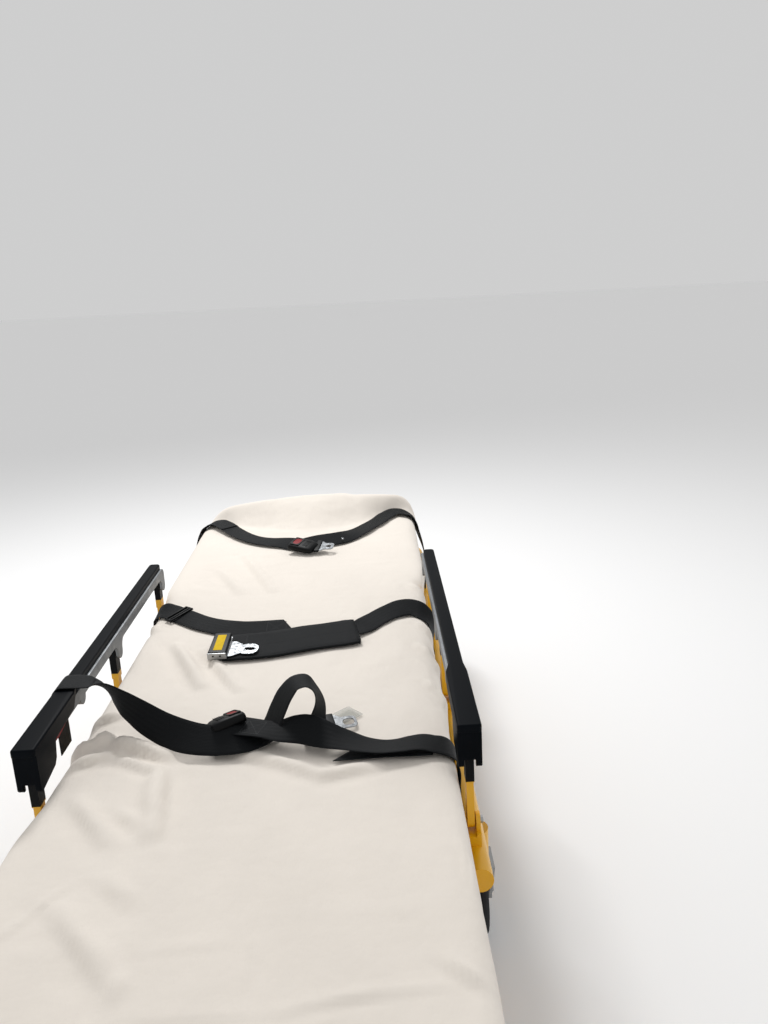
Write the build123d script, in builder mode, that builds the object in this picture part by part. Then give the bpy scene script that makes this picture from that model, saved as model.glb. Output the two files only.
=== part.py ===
"""A wheeled ambulance stretcher, lowered, with its backrest flat and its side rails up.

Millimetres. +X is the right side seen from the head end, +Y runs from head to foot, +Z is up.
The origin is on the floor under the middle of the stretcher.
"""

import os
from math import asin, cos, radians, sin, sqrt

from build123d import *

os.makedirs("parts", exist_ok=True)

# Casters
WHEEL_R = 75.0
WHEEL_HALF = 20.0
TYRE_SEAT_R = 56.0
TRAIL = 45.0
CASTER_X = 322.0
CASTER_HEAD_Y = -245.0
CASTER_FOOT_Y = 855.0
FORK_TOP = 163.0
AXLE_R = 6.0
STEM_R = 10.0
HOUSING_R = 23.0

# Fits
RUN = 0.1
PIN_R = 10.0

# Base frame
BASE_TUBE_X = 222.0
BASE_TUBE_W = 30.0
BASE_TUBE_H = 40.0
BASE_Z = 185.0
CROSS_Z = 205.0
CROSS_R = 19.0

# Folding legs
LEG_LENGTH = 1000.0
LEG_HEAD_Y = -190.0
LITTER_PIVOT_Z = 290.0
LEG_R = 18.0
LEG_W = 22.0
OUTER_LEG_X = 174.0
INNER_LEG_X = 139.0
ROLLER_R = 17.0
ROLLER_AXLE_R = 8.0
LEG_TUBE_R = 14.0
LEG_SIN = (LITTER_PIVOT_Z - BASE_Z) / LEG_LENGTH
LEG_COS = sqrt(1.0 - LEG_SIN**2)
LEG_FOOT_Y = LEG_HEAD_Y + LEG_LENGTH * LEG_COS
RAISE_DEG = 44.0
LEG_RAISED_Y = LEG_HEAD_Y + LEG_LENGTH * cos(asin(LEG_SIN) + radians(RAISE_DEG))

# Litter frame
TUBE_X = 302.0
TUBE_Z = 325.0
TUBE_R = 18.0
LITTER_HEAD_Y = -500.0
FOOT_BOW_Y = 1000.0
BOW_R = 60.0
MEMBER_W = 40.0
MEMBER_H = 20.0
MEMBER_TOP = TUBE_Z + MEMBER_H / 2
MEMBER_YS = (-480.0, -330.0, LEG_HEAD_Y, 150.0, 500.0, 870.0)

# Sliding head section, and the guides it runs in under the first two members
SLIDE_X = 258.0
SLIDE_Z = 296.0
SLIDE_R = 14.0
SLIDE_END_Y = -300.0
GUIDE_R = 19.0
GUIDE_W = 34.0
HEAD_BOW_Y = -1016.0
LOAD_X = 200.0
LOAD_Y = -930.0
LOAD_Z = 200.0
LOAD_R = 50.0
LOAD_HALF = 16.0

# Backrest
HINGE_Y = -350.0
HINGE_Z = 357.0
BACK_TUBE_X = 245.0
BACK_TUBE_R = 12.0
BACK_BOW_Y = -945.0
HINGE_PIN_R = 7.0
EYE_R = 16.0
EYE_HALF = 11.0

# Decks and mattress
DECK_HALF = 268.0
DECK_SHEET = 6.0
DECK_TOP = 375.0
MATTRESS_HALF = 274.0
MATTRESS_BOTTOM = DECK_TOP + 0.5
MATTRESS_TOP = 455.0
MATTRESS_HEAD_Y = -960.0
MATTRESS_FOOT_Y = 970.0
FOLD_HEAD_Y = -450.0
FOLD_FOOT_Y = -250.0

# Side rails
RAIL_X = 297.5
RAIL_HALF = 13.5
RAIL_BOTTOM = 504.0
RAIL_SEAM = 522.0
RAIL_TOP = 533.0
RAIL_HEAD_Y = -456.0
RAIL_STEP_Y = -285.0
RAIL_FOOT_Y = 338.0
HOOD_HALF = 16.5
HOOD_BOTTOM = 466.0
HOOD_FOOT_Y = -385.0
ARM_LOW_Z = 372.0
ARM_HIGH_Z = 487.0
ARM_YS = (-430.0, -30.0, 325.0)
ARM_HALF = 5.0
KNUCKLE_HALF = 6.0
SLOT_HALF = 8.0
BRACKET_T = 6.0
LOBE_R = 13.0
FINGER_TAB_Y = -243.0
RAIL_PIN_R = 4.5


def save(builder, name):
    builder.part.label = name
    export_step(builder.part, f"parts/{name}.step")


def leg_point(share, rising):
    """A point on a leg at a share of its length from the head end, as (y, z)."""
    start = BASE_Z if rising else LITTER_PIVOT_Z
    way = LEG_SIN if rising else -LEG_SIN
    return (LEG_HEAD_Y + share * LEG_LENGTH * LEG_COS, start + share * LEG_LENGTH * way)


# Casters: corner name, side, swivel axis y, has a brake pedal
CORNERS = (
    ("head_left", -1, CASTER_HEAD_Y, False),
    ("head_right", 1, CASTER_HEAD_Y, False),
    ("foot_left", -1, CASTER_FOOT_Y, True),
    ("foot_right", 1, CASTER_FOOT_Y, True),
)


def make_tyre(name, x, y, z, radius, half, seat_r):
    """A solid rubber tyre about an axle along X, with a crowned tread."""
    crown = 0.4 * half
    with BuildPart() as tyre:
        with BuildSketch(Plane.XZ.offset(-y)):
            with BuildLine():
                Polyline(
                    (x - half + 3, z + seat_r),
                    (x - half, z + radius - 2 * crown),
                    (x - half, z + radius - crown),
                    (x - 0.6 * half, z + radius - 0.25 * crown),
                    (x - 0.2 * half, z + radius),
                    (x + 0.2 * half, z + radius),
                    (x + 0.6 * half, z + radius - 0.25 * crown),
                    (x + half, z + radius - crown),
                    (x + half, z + radius - 2 * crown),
                    (x + half - 3, z + seat_r),
                    close=True,
                )
            make_face()
        revolve(axis=Axis((x, y, z), (1, 0, 0)))
    save(tyre, name)


def make_hub(name, x, y, z, half, seat_r, bore_r, boss_half):
    """A moulded wheel centre: rim, web with tapered windows between five spokes, and boss."""
    rim = 0.86 * seat_r
    boss_r = bore_r + 8
    with BuildPart() as hub:
        with BuildSketch(Plane.XZ.offset(-y)):
            with Locations((x, z + (seat_r + rim) / 2)):
                Rectangle(2 * (half - 3), seat_r - rim)
            with Locations((x, z + (boss_r + bore_r) / 2)):
                Rectangle(2 * boss_half, boss_r - bore_r)
            with Locations((x, z + (rim + boss_r) / 2)):
                Rectangle(9, rim - boss_r + 1)
        revolve(axis=Axis((x, y, z), (1, 0, 0)))
        with BuildSketch(Plane.YZ.offset(x - half)):
            with Locations((y, z)):
                with PolarLocations((rim + boss_r) / 2, 5):
                    Trapezoid(0.62 * rim, rim - boss_r - 7, 62, rotation=90)
        extrude(amount=2 * half, mode=Mode.SUBTRACT)
    save(hub, name)


def make_fork(name, side, swivel_y):
    """A swivelling fork: two cheeks under a rounded bridge, axle, race and stem."""
    x = side * CASTER_X
    axle_y = swivel_y + TRAIL
    cheek_in = WHEEL_HALF + 6
    cheek = 5.0
    with BuildPart() as fork:
        with BuildSketch(Plane.XY.offset(FORK_TOP - 8)):
            with Locations((x, swivel_y), (x, swivel_y + 22)):
                Circle(cheek_in + cheek)
            make_hull()
        extrude(amount=8)
        with BuildSketch(Plane.XY.offset(FORK_TOP)):
            with Locations((x, swivel_y)):
                Circle(27)
        extrude(amount=7)
        with BuildSketch(Plane.XY.offset(FORK_TOP + 7)):
            with Locations((x, swivel_y)):
                Circle(STEM_R)
        extrude(amount=50)
        for inner in (x - cheek_in - cheek, x + cheek_in):
            with BuildSketch(Plane.YZ.offset(inner)):
                with BuildLine():
                    Polyline(
                        (swivel_y - 17, FORK_TOP),
                        (swivel_y + 40, FORK_TOP),
                        (axle_y + 16, WHEEL_R),
                        (axle_y - 16, WHEEL_R),
                        close=True,
                    )
                make_face()
                with Locations((axle_y, WHEEL_R)):
                    Circle(16)
            extrude(amount=cheek)
        with BuildSketch(Plane.YZ.offset(x - cheek_in - cheek)):
            with Locations((axle_y, WHEEL_R)):
                Circle(AXLE_R)
        extrude(amount=2 * (cheek_in + cheek))
    save(fork, name)


def make_brake(name, side, swivel_y):
    """A brake pedal seated on the trailing end of the fork's bridge."""
    x = side * CASTER_X
    near = swivel_y + 40
    with BuildPart() as brake:
        with BuildSketch(Plane.YZ.offset(x - 16)):
            with BuildLine():
                Polyline(
                    (near, FORK_TOP),
                    (near, FORK_TOP - 7),
                    (near + 8, FORK_TOP - 8),
                    (near + 44, FORK_TOP - 16),
                    (near + 46, FORK_TOP - 10),
                    (near + 10, FORK_TOP),
                    close=True,
                )
            make_face()
        extrude(amount=32)
        with BuildSketch(Plane.XY.offset(FORK_TOP - 8)):
            with Locations((x, swivel_y), (x, swivel_y + 22)):
                Circle(WHEEL_HALF + 11)
            make_hull()
        extrude(amount=8, mode=Mode.SUBTRACT)
    save(brake, name)


for corner, side, swivel_y, braked in CORNERS:
    axle_y = swivel_y + TRAIL
    make_tyre(f"tyre_{corner}", side * CASTER_X, axle_y, WHEEL_R, WHEEL_R, WHEEL_HALF, TYRE_SEAT_R)
    make_hub(
        f"hub_{corner}", side * CASTER_X, axle_y, WHEEL_R, WHEEL_HALF, TYRE_SEAT_R, AXLE_R + RUN, 24
    )
    make_fork(f"fork_{corner}", side, swivel_y)
    if braked:
        make_brake(f"brake_{corner}", side, swivel_y)

# Base frame: side tubes, end tubes, caster housings, leg pins and the floor lock's post
HOUSING_Z = FORK_TOP + 9
with BuildPart() as base_frame:
    with BuildSketch(Plane.XZ.offset(-CASTER_HEAD_Y)):
        with Locations((-BASE_TUBE_X, BASE_Z), (BASE_TUBE_X, BASE_Z)):
            RectangleRounded(BASE_TUBE_W, BASE_TUBE_H, 5)
    extrude(amount=CASTER_HEAD_Y - CASTER_FOOT_Y)
    with BuildSketch(Plane.YZ.offset(-CASTER_X)):
        with Locations((CASTER_HEAD_Y, CROSS_Z), (CASTER_FOOT_Y, CROSS_Z)):
            Circle(CROSS_R)
    extrude(amount=2 * CASTER_X)
    with BuildSketch(Plane.XY.offset(HOUSING_Z)):
        with Locations(*[(side * CASTER_X, y) for _, side, y, _ in CORNERS]):
            Circle(HOUSING_R)
    extrude(amount=58)
    with BuildSketch(Plane.XY.offset(HOUSING_Z)):
        with Locations(*[(side * CASTER_X, y) for _, side, y, _ in CORNERS]):
            Circle(STEM_R + RUN)
    extrude(amount=50, mode=Mode.SUBTRACT)
    for side in (-1, 1):
        pin_plane = Plane.YZ.offset(side * (BASE_TUBE_X - BASE_TUBE_W / 2))
        with BuildSketch(pin_plane):
            with Locations((LEG_HEAD_Y, BASE_Z)):
                Circle(PIN_R)
        extrude(amount=-side * (BASE_TUBE_X - BASE_TUBE_W / 2 - OUTER_LEG_X + 5))
        with BuildSketch(Plane.YZ.offset(side * (OUTER_LEG_X - 5))):
            with Locations((LEG_HEAD_Y, BASE_Z)):
                Circle(PIN_R + 5)
        extrude(amount=side * 3)
    with BuildSketch(Plane.YZ.offset(-BASE_TUBE_X - BASE_TUBE_W / 2)):
        with Locations((600, BASE_Z)):
            Circle(11)
    extrude(amount=-45)
save(base_frame, "base_frame")

# Tracks: channels in which the legs' rollers run
TRACK_HEAD_Y = LEG_RAISED_Y - ROLLER_R - 10
TRACK_FOOT_Y = LEG_FOOT_Y + ROLLER_R + 9


def make_tracks(name, inner_x, z, top_wall):
    """A pair of C-shaped channels, open towards the middle, with closed ends."""
    wall = 4.0
    depth = 30.0
    gap = ROLLER_R + 1
    with BuildPart() as tracks:
        with BuildSketch(Plane.XZ.offset(-TRACK_HEAD_Y)):
            with BuildLine():
                Polyline(
                    (inner_x, z - gap - wall),
                    (inner_x + depth, z - gap - wall),
                    (inner_x + depth, z + gap + top_wall),
                    (inner_x, z + gap + top_wall),
                    close=True,
                )
            make_face()
        extrude(amount=TRACK_HEAD_Y - TRACK_FOOT_Y)
        with BuildSketch(Plane.XZ.offset(-TRACK_HEAD_Y - wall)):
            with BuildLine():
                Polyline(
                    (inner_x, z - gap),
                    (inner_x + depth - wall, z - gap),
                    (inner_x + depth - wall, z + gap),
                    (inner_x, z + gap),
                    close=True,
                )
            make_face()
        extrude(amount=TRACK_HEAD_Y - TRACK_FOOT_Y + 2 * wall, mode=Mode.SUBTRACT)
        mirror(about=Plane.YZ)
    save(tracks, name)


LITTER_TRACK_X = OUTER_LEG_X + LEG_W + 5
BASE_TRACK_X = BASE_TUBE_X - BASE_TUBE_W / 2 - 30
make_tracks("base_tracks", BASE_TRACK_X, BASE_Z, 4)
make_tracks("litter_tracks", LITTER_TRACK_X, LITTER_PIVOT_Z, MEMBER_TOP - MEMBER_H - LITTER_PIVOT_Z - 18)


def make_legs(name, inner_x, rising, axle_end):
    """One pair of legs with its two cross tubes, hinge bores and roller axles."""
    hinge = leg_point(0, rising)
    roller = leg_point(1, rising)
    middle = leg_point(0.5, rising)
    with BuildPart() as legs:
        with BuildSketch(Plane.YZ.offset(inner_x)):
            with Locations(hinge, roller):
                Circle(LEG_R)
            make_hull()
        extrude(amount=LEG_W)
        with BuildSketch(Plane.YZ.offset(inner_x + LEG_W)):
            with Locations(roller):
                Circle(ROLLER_AXLE_R)
        extrude(amount=axle_end - inner_x - LEG_W)
        if rising:
            with BuildSketch(Plane.YZ.offset(INNER_LEG_X - 3)):
                with Locations(middle):
                    Circle(PIN_R)
            extrude(amount=inner_x - INNER_LEG_X + 3)
            with BuildSketch(Plane.YZ.offset(INNER_LEG_X - 8)):
                with Locations(middle):
                    Circle(PIN_R + 5)
            extrude(amount=5)
        mirror(about=Plane.YZ)
        with BuildSketch(Plane.YZ.offset(-inner_x)):
            with Locations(leg_point(0.10, rising), leg_point(0.93, rising)):
                Circle(LEG_TUBE_R)
        extrude(amount=2 * inner_x)
        bores = [hinge] if rising else [hinge, middle]
        with BuildSketch(Plane.YZ.offset(-inner_x - LEG_W)):
            with Locations(*bores):
                Circle(PIN_R + RUN)
        extrude(amount=2 * (inner_x + LEG_W), mode=Mode.SUBTRACT)
    save(legs, name)


def make_rollers(name, inner_x, rising):
    """The pair of rollers at the sliding ends of one pair of legs."""
    with BuildPart() as rollers:
        with BuildSketch(Plane.YZ.offset(inner_x)):
            with Locations(leg_point(1, rising)):
                Circle(ROLLER_R)
                Circle(ROLLER_AXLE_R, mode=Mode.SUBTRACT)
        extrude(amount=18)
        mirror(about=Plane.YZ)
    save(rollers, name)


make_legs("leg_outer", OUTER_LEG_X, True, LITTER_TRACK_X + 23)
make_rollers("rollers_outer", LITTER_TRACK_X + 4, True)
make_legs("leg_inner", INNER_LEG_X, False, BASE_TRACK_X + 24)
make_rollers("rollers_inner", BASE_TRACK_X + 5, False)


def draw_bow(end_y, bow_y, x):
    """The centre line of a U-shaped tube, drawn in the open BuildLine."""
    corners = [(x, end_y), (x, bow_y), (-x, bow_y), (-x, end_y)]
    FilletPolyline(*corners, radius=BOW_R)


# Litter frame: a U of tube with cross members, slide guides, hinge ears and leg clevises
with BuildPart() as litter_frame:
    with BuildLine(Plane.XY.offset(TUBE_Z)) as litter_line:
        draw_bow(LITTER_HEAD_Y, FOOT_BOW_Y, TUBE_X)
    with BuildSketch(Plane.XZ.offset(-LITTER_HEAD_Y)):
        with Locations((TUBE_X, TUBE_Z)):
            Circle(TUBE_R)
    sweep(path=litter_line.line)
    with BuildSketch(Plane.YZ.offset(-TUBE_X)):
        with Locations(*[(y, TUBE_Z) for y in MEMBER_YS]):
            RectangleRounded(MEMBER_W, MEMBER_H, 4)
    extrude(amount=2 * TUBE_X)
    for y in MEMBER_YS[:2]:
        with BuildSketch(Plane.XZ.offset(-y + GUIDE_W / 2)):
            with Locations((SLIDE_X, SLIDE_Z)):
                Circle(GUIDE_R)
            with Locations((SLIDE_X, MEMBER_TOP - MEMBER_H)):
                Rectangle(2 * GUIDE_R, 4)
            make_hull()
            with Locations((SLIDE_X, SLIDE_Z)):
                Circle(SLIDE_R + RUN, mode=Mode.SUBTRACT)
        guide = extrude(amount=-GUIDE_W)
        mirror(guide, about=Plane.YZ)
    ear_in = BACK_TUBE_X + BACK_TUBE_R + 1
    with BuildSketch(Plane.YZ.offset(ear_in)):
        with Locations((HINGE_Y, HINGE_Z)):
            Circle(14)
        with Locations((-342, MEMBER_TOP - 6)):
            Rectangle(16, 12)
        make_hull()
    ears = extrude(amount=8)
    with BuildSketch(Plane.YZ.offset(BACK_TUBE_X - BACK_TUBE_R - 2)):
        with Locations((HINGE_Y, HINGE_Z)):
            Circle(HINGE_PIN_R)
    hinge_pin = extrude(amount=2 * BACK_TUBE_R + 4)
    mirror(ears, about=Plane.YZ)
    mirror(hinge_pin, about=Plane.YZ)
    for inner in (INNER_LEG_X - 11, INNER_LEG_X + LEG_W + 3):
        with BuildSketch(Plane.YZ.offset(inner)):
            with Locations((LEG_HEAD_Y, LITTER_PIVOT_Z)):
                Circle(16)
            with Locations((LEG_HEAD_Y, MEMBER_TOP - MEMBER_H + 2)):
                Rectangle(36, 6)
            make_hull()
        cheek = extrude(amount=8)
        mirror(cheek, about=Plane.YZ)
    with BuildSketch(Plane.YZ.offset(INNER_LEG_X - 11)):
        with Locations((LEG_HEAD_Y, LITTER_PIVOT_Z)):
            Circle(PIN_R)
    leg_pin = extrude(amount=LEG_W + 22)
    mirror(leg_pin, about=Plane.YZ)
save(litter_frame, "litter_frame")

# Head section: a U of smaller tube that slides under the litter and carries two load wheels
LOAD_CHEEK = LOAD_HALF + 6
with BuildPart() as head_frame:
    with BuildLine(Plane.XY.offset(SLIDE_Z)) as head_line:
        draw_bow(SLIDE_END_Y, HEAD_BOW_Y, SLIDE_X)
    with BuildSketch(Plane.XZ.offset(-SLIDE_END_Y)):
        with Locations((SLIDE_X, SLIDE_Z)):
            Circle(SLIDE_R)
    sweep(path=head_line.line)
    for inner in (LOAD_X - LOAD_CHEEK - 6, LOAD_X + LOAD_CHEEK):
        with BuildSketch(Plane.YZ.offset(inner)):
            with Locations((HEAD_BOW_Y + 3, SLIDE_Z - 3)):
                Circle(11)
            with Locations((LOAD_Y, LOAD_Z)):
                Circle(15)
            make_hull()
        cheek = extrude(amount=6)
        mirror(cheek, about=Plane.YZ)
    with BuildSketch(Plane.YZ.offset(LOAD_X - LOAD_CHEEK - 6)):
        with Locations((LOAD_Y, LOAD_Z)):
            Circle(AXLE_R)
    axle = extrude(amount=2 * LOAD_CHEEK + 12)
    mirror(axle, about=Plane.YZ)
    with BuildSketch(Plane.YZ.offset(-LOAD_X + LOAD_CHEEK)):
        with Locations((-985, 262)):
            Circle(8)
    extrude(amount=2 * (LOAD_X - LOAD_CHEEK))
save(head_frame, "head_frame")

for side_name, side in (("left", -1), ("right", 1)):
    make_tyre(f"load_tyre_{side_name}", side * LOAD_X, LOAD_Y, LOAD_Z, LOAD_R, LOAD_HALF, 36)
    make_hub(
        f"load_hub_{side_name}", side * LOAD_X, LOAD_Y, LOAD_Z, LOAD_HALF, 36, AXLE_R + RUN, 19
    )

# Backrest frame: a U of tube with two cross tubes and hinge eyes
with BuildPart() as backrest_frame:
    with BuildLine(Plane.XY.offset(HINGE_Z)) as back_line:
        draw_bow(HINGE_Y - 8, BACK_BOW_Y, BACK_TUBE_X)
    with BuildSketch(Plane.XZ.offset(-HINGE_Y + 8)):
        with Locations((BACK_TUBE_X, HINGE_Z)):
            Circle(BACK_TUBE_R)
    sweep(path=back_line.line)
    with BuildSketch(Plane.YZ.offset(-BACK_TUBE_X)):
        with Locations((-550, HINGE_Z), (-750, HINGE_Z)):
            Circle(9)
    extrude(amount=2 * BACK_TUBE_X)
    with BuildSketch(Plane.YZ.offset(BACK_TUBE_X - EYE_HALF)):
        with Locations((HINGE_Y, HINGE_Z)):
            Circle(EYE_R)
    eye = extrude(amount=2 * EYE_HALF)
    mirror(eye, about=Plane.YZ)
    with BuildSketch(Plane.YZ.offset(-BACK_TUBE_X - BACK_TUBE_R)):
        with Locations((HINGE_Y, HINGE_Z)):
            Circle(HINGE_PIN_R + RUN)
    extrude(amount=2 * (BACK_TUBE_X + BACK_TUBE_R), mode=Mode.SUBTRACT)
save(backrest_frame, "backrest_frame")

# Decks: formed sheet with turned-down edges under the seat and legs, plain under the back
with BuildPart() as seat_deck:
    with BuildSketch(Plane.XZ.offset(325)):
        with BuildLine():
            Polyline(
                (-DECK_HALF, MEMBER_TOP),
                (-DECK_HALF, DECK_TOP),
                (DECK_HALF, DECK_TOP),
                (DECK_HALF, MEMBER_TOP),
                (DECK_HALF - DECK_SHEET, MEMBER_TOP),
                (DECK_HALF - DECK_SHEET, DECK_TOP - DECK_SHEET),
                (DECK_SHEET - DECK_HALF, DECK_TOP - DECK_SHEET),
                (DECK_SHEET - DECK_HALF, MEMBER_TOP),
                close=True,
            )
        make_face()
    extrude(amount=-(325 + MATTRESS_FOOT_Y))
save(seat_deck, "seat_deck")

with BuildPart() as backrest_deck:
    with BuildSketch(Plane.XY.offset(HINGE_Z + BACK_TUBE_R)):
        with Locations((0, (-372 - 955) / 2)):
            RectangleRounded(2 * 262, 955 - 372, 30)
    extrude(amount=DECK_SHEET)
save(backrest_deck, "backrest_deck")


def make_pad(name, head_y, foot_y, head_corner, foot_corner):
    """One stretch of the mattress."""
    with BuildPart() as pad:
        with BuildSketch(Plane.XY.offset(MATTRESS_BOTTOM)) as outline:
            with Locations((0, (head_y + foot_y) / 2)):
                Rectangle(2 * MATTRESS_HALF, foot_y - head_y)
            if head_corner:
                fillet(outline.vertices().group_by(Axis.Y)[0], head_corner)
            if foot_corner:
                fillet(outline.vertices().group_by(Axis.Y)[-1], foot_corner)
        extrude(amount=MATTRESS_TOP - MATTRESS_BOTTOM)
        top = pad.edges().group_by(Axis.Z)[-1]
        cuts = [y for y, corner in ((head_y, head_corner), (foot_y, foot_corner)) if not corner]
        rounded = [e for e in top if all(abs(e.center().Y - y) > 1 for y in cuts)]
        fillet(rounded, 16)
    save(pad, name)


make_pad("mattress_back", MATTRESS_HEAD_Y, FOLD_HEAD_Y, 60, 0)
make_pad("mattress_fold", FOLD_HEAD_Y + 1, FOLD_FOOT_Y - 1, 0, 0)
make_pad("mattress_seat", FOLD_FOOT_Y, MATTRESS_FOOT_Y, 0, 60)


def rail_slab(side, half):
    """The sketch plane on the left face of a slab centred on a side rail, with y and z as its axes."""
    return Plane.YZ.offset(side * RAIL_X - half)


def make_rail(name, side):
    """The cast rail: a beam that flows down into a slotted lobe round each arm's upper pin."""
    flow_r = RAIL_BOTTOM - ARM_HIGH_Z
    head_y = ARM_YS[0] - LOBE_R
    with BuildPart() as rail:
        with BuildSketch(rail_slab(side, RAIL_HALF)) as outline:
            for y in ARM_YS:
                with Locations((y, (RAIL_SEAM + ARM_HIGH_Z) / 2)):
                    Rectangle(2 * (LOBE_R + flow_r), RAIL_SEAM - ARM_HIGH_Z)
                with Locations(
                    (y - LOBE_R - flow_r, ARM_HIGH_Z), (y + LOBE_R + flow_r, ARM_HIGH_Z)
                ):
                    Circle(flow_r, mode=Mode.SUBTRACT)
                with Locations((y, ARM_HIGH_Z)):
                    Circle(LOBE_R)
            with Locations(((head_y + RAIL_FOOT_Y) / 2, (RAIL_BOTTOM + RAIL_SEAM) / 2)):
                Rectangle(RAIL_FOOT_Y - head_y, RAIL_SEAM - RAIL_BOTTOM)
            with Locations((FINGER_TAB_Y, RAIL_BOTTOM)):
                Circle(12)
            with Locations(((head_y + RAIL_FOOT_Y) / 2, RAIL_BOTTOM)):
                Rectangle(RAIL_FOOT_Y - head_y, 100, mode=Mode.INTERSECT)
            foot_corner = outline.vertices().group_by(Axis.Z)[-1].sort_by(Axis.Y)[-1]
            fillet(foot_corner, 14)
        extrude(amount=2 * RAIL_HALF)
        with BuildSketch(rail_slab(side, SLOT_HALF)):
            with Locations(*[(y, ARM_HIGH_Z - 2) for y in ARM_YS]):
                Rectangle(2 * (LOBE_R + flow_r), 32)
        extrude(amount=2 * SLOT_HALF, mode=Mode.SUBTRACT)
        with BuildSketch(rail_slab(side, RAIL_HALF - 2)):
            with Locations(*[(y, ARM_HIGH_Z) for y in ARM_YS]):
                Circle(RAIL_PIN_R)
        extrude(amount=2 * RAIL_HALF - 4)
    save(rail, name)


def make_rail_cap(name, side):
    """The moulded cap on a rail's beam, with a wide hood that hangs round the head end."""
    x = side * RAIL_X
    cap_in = x - side * 9.5
    cap_out = x + side * RAIL_HALF
    with BuildPart() as cap:
        with BuildSketch(Plane.XY.offset(RAIL_SEAM)) as outline:
            with BuildLine():
                Polyline(
                    (x - side * HOOD_HALF, RAIL_HEAD_Y),
                    (x + side * HOOD_HALF, RAIL_HEAD_Y),
                    (x + side * HOOD_HALF, RAIL_STEP_Y),
                    (cap_out, RAIL_STEP_Y + 30),
                    (cap_out, RAIL_FOOT_Y - 8),
                    (cap_in, RAIL_FOOT_Y - 8),
                    (cap_in, RAIL_STEP_Y + 30),
                    (x - side * HOOD_HALF, RAIL_STEP_Y),
                    close=True,
                )
            make_face()
            fillet(outline.vertices().group_by(Axis.Y)[0], 5)
            fillet(outline.vertices().group_by(Axis.Y)[-1], 7)
        extrude(amount=RAIL_TOP - RAIL_SEAM)
        fillet(cap.edges().group_by(Axis.Z)[-1], 3)
        with BuildSketch(rail_slab(side, HOOD_HALF)):
            with BuildLine():
                Polyline(
                    (RAIL_HEAD_Y + 5, RAIL_SEAM),
                    (RAIL_HEAD_Y + 5, HOOD_BOTTOM + 4),
                    (RAIL_HEAD_Y + 9, HOOD_BOTTOM),
                    (HOOD_FOOT_Y - 8, HOOD_BOTTOM + 8),
                    (HOOD_FOOT_Y, HOOD_BOTTOM + 16),
                    (HOOD_FOOT_Y + 6, RAIL_BOTTOM + 2),
                    (RAIL_STEP_Y - 10, RAIL_BOTTOM + 6),
                    (RAIL_STEP_Y, RAIL_SEAM),
                    close=True,
                )
            make_face()
        extrude(amount=2 * HOOD_HALF)
        with BuildSketch(rail_slab(side, RAIL_HALF)):
            with Locations((ARM_YS[0] - LOBE_R, RAIL_SEAM)):
                Rectangle(200, 100, align=(Align.MIN, Align.MAX))
        extrude(amount=2 * RAIL_HALF, mode=Mode.SUBTRACT)
        with BuildSketch(rail_slab(side, SLOT_HALF)):
            with Locations((RAIL_HEAD_Y, HOOD_BOTTOM)):
                Rectangle(30, 24)
        extrude(amount=2 * SLOT_HALF, mode=Mode.SUBTRACT)
    save(cap, name)


def make_rail_latch(name, side):
    """The release lever under a rail's beam, just behind the hood."""
    with BuildPart() as latch:
        with BuildSketch(rail_slab(side, 6)):
            with BuildLine():
                Polyline(
                    (-374, RAIL_BOTTOM),
                    (-298, RAIL_BOTTOM),
                    (-301, RAIL_BOTTOM - 8),
                    (-340, RAIL_BOTTOM - 15),
                    (-370, RAIL_BOTTOM - 13),
                    close=True,
                )
            make_face()
        extrude(amount=12)
    save(latch, name)


def make_arm(name, side, y):
    """A flat arm with a thicker moulded knuckle at its upper pin."""
    with BuildPart() as arm:
        with BuildSketch(rail_slab(side, ARM_HALF)):
            with Locations((y, ARM_LOW_Z)):
                Circle(10)
            with Locations((y, ARM_HIGH_Z - 45)):
                Circle(8.5)
            make_hull()
        extrude(amount=2 * ARM_HALF)
        with BuildSketch(rail_slab(side, KNUCKLE_HALF)):
            with Locations((y, ARM_HIGH_Z)):
                Circle(LOBE_R - 1.5)
            with Locations((y, ARM_HIGH_Z - 46)):
                Rectangle(21, 8)
            make_hull()
        extrude(amount=2 * KNUCKLE_HALF)
        with BuildSketch(rail_slab(side, KNUCKLE_HALF)):
            with Locations((y, ARM_LOW_Z), (y, ARM_HIGH_Z)):
                Circle(RAIL_PIN_R + RUN)
        extrude(amount=2 * KNUCKLE_HALF, mode=Mode.SUBTRACT)
    save(arm, name)


def make_brackets(name, side):
    """The clevises that saddle the side tube and carry one rail's arms."""
    outer = ARM_HALF + 2 + BRACKET_T
    with BuildPart() as brackets:
        with BuildSketch(rail_slab(side, outer)):
            for y in ARM_YS:
                with Locations((y, ARM_LOW_Z)):
                    Circle(12)
                with Locations((y, TUBE_Z)):
                    Rectangle(40, 36, align=(Align.CENTER, Align.MIN))
                with Locations((y, (ARM_LOW_Z + TUBE_Z) / 2 + 8)):
                    Rectangle(24, ARM_LOW_Z - TUBE_Z - 16)
        extrude(amount=2 * outer)
        with BuildSketch(rail_slab(side, ARM_HALF + 2)):
            with Locations(*[(y, TUBE_Z + 32) for y in ARM_YS]):
                Rectangle(60, 40, align=(Align.CENTER, Align.MIN))
        extrude(amount=2 * ARM_HALF + 4, mode=Mode.SUBTRACT)
        with BuildSketch(rail_slab(side, outer)):
            with Locations(*[(y, ARM_LOW_Z) for y in ARM_YS]):
                Circle(RAIL_PIN_R)
        extrude(amount=2 * outer)
        with BuildSketch(Plane.XZ.offset(-RAIL_HEAD_Y)):
            with Locations((side * TUBE_X, TUBE_Z)):
                Circle(TUBE_R)
        extrude(amount=RAIL_HEAD_Y - RAIL_FOOT_Y - 20, mode=Mode.SUBTRACT)
    save(brackets, name)


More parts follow.
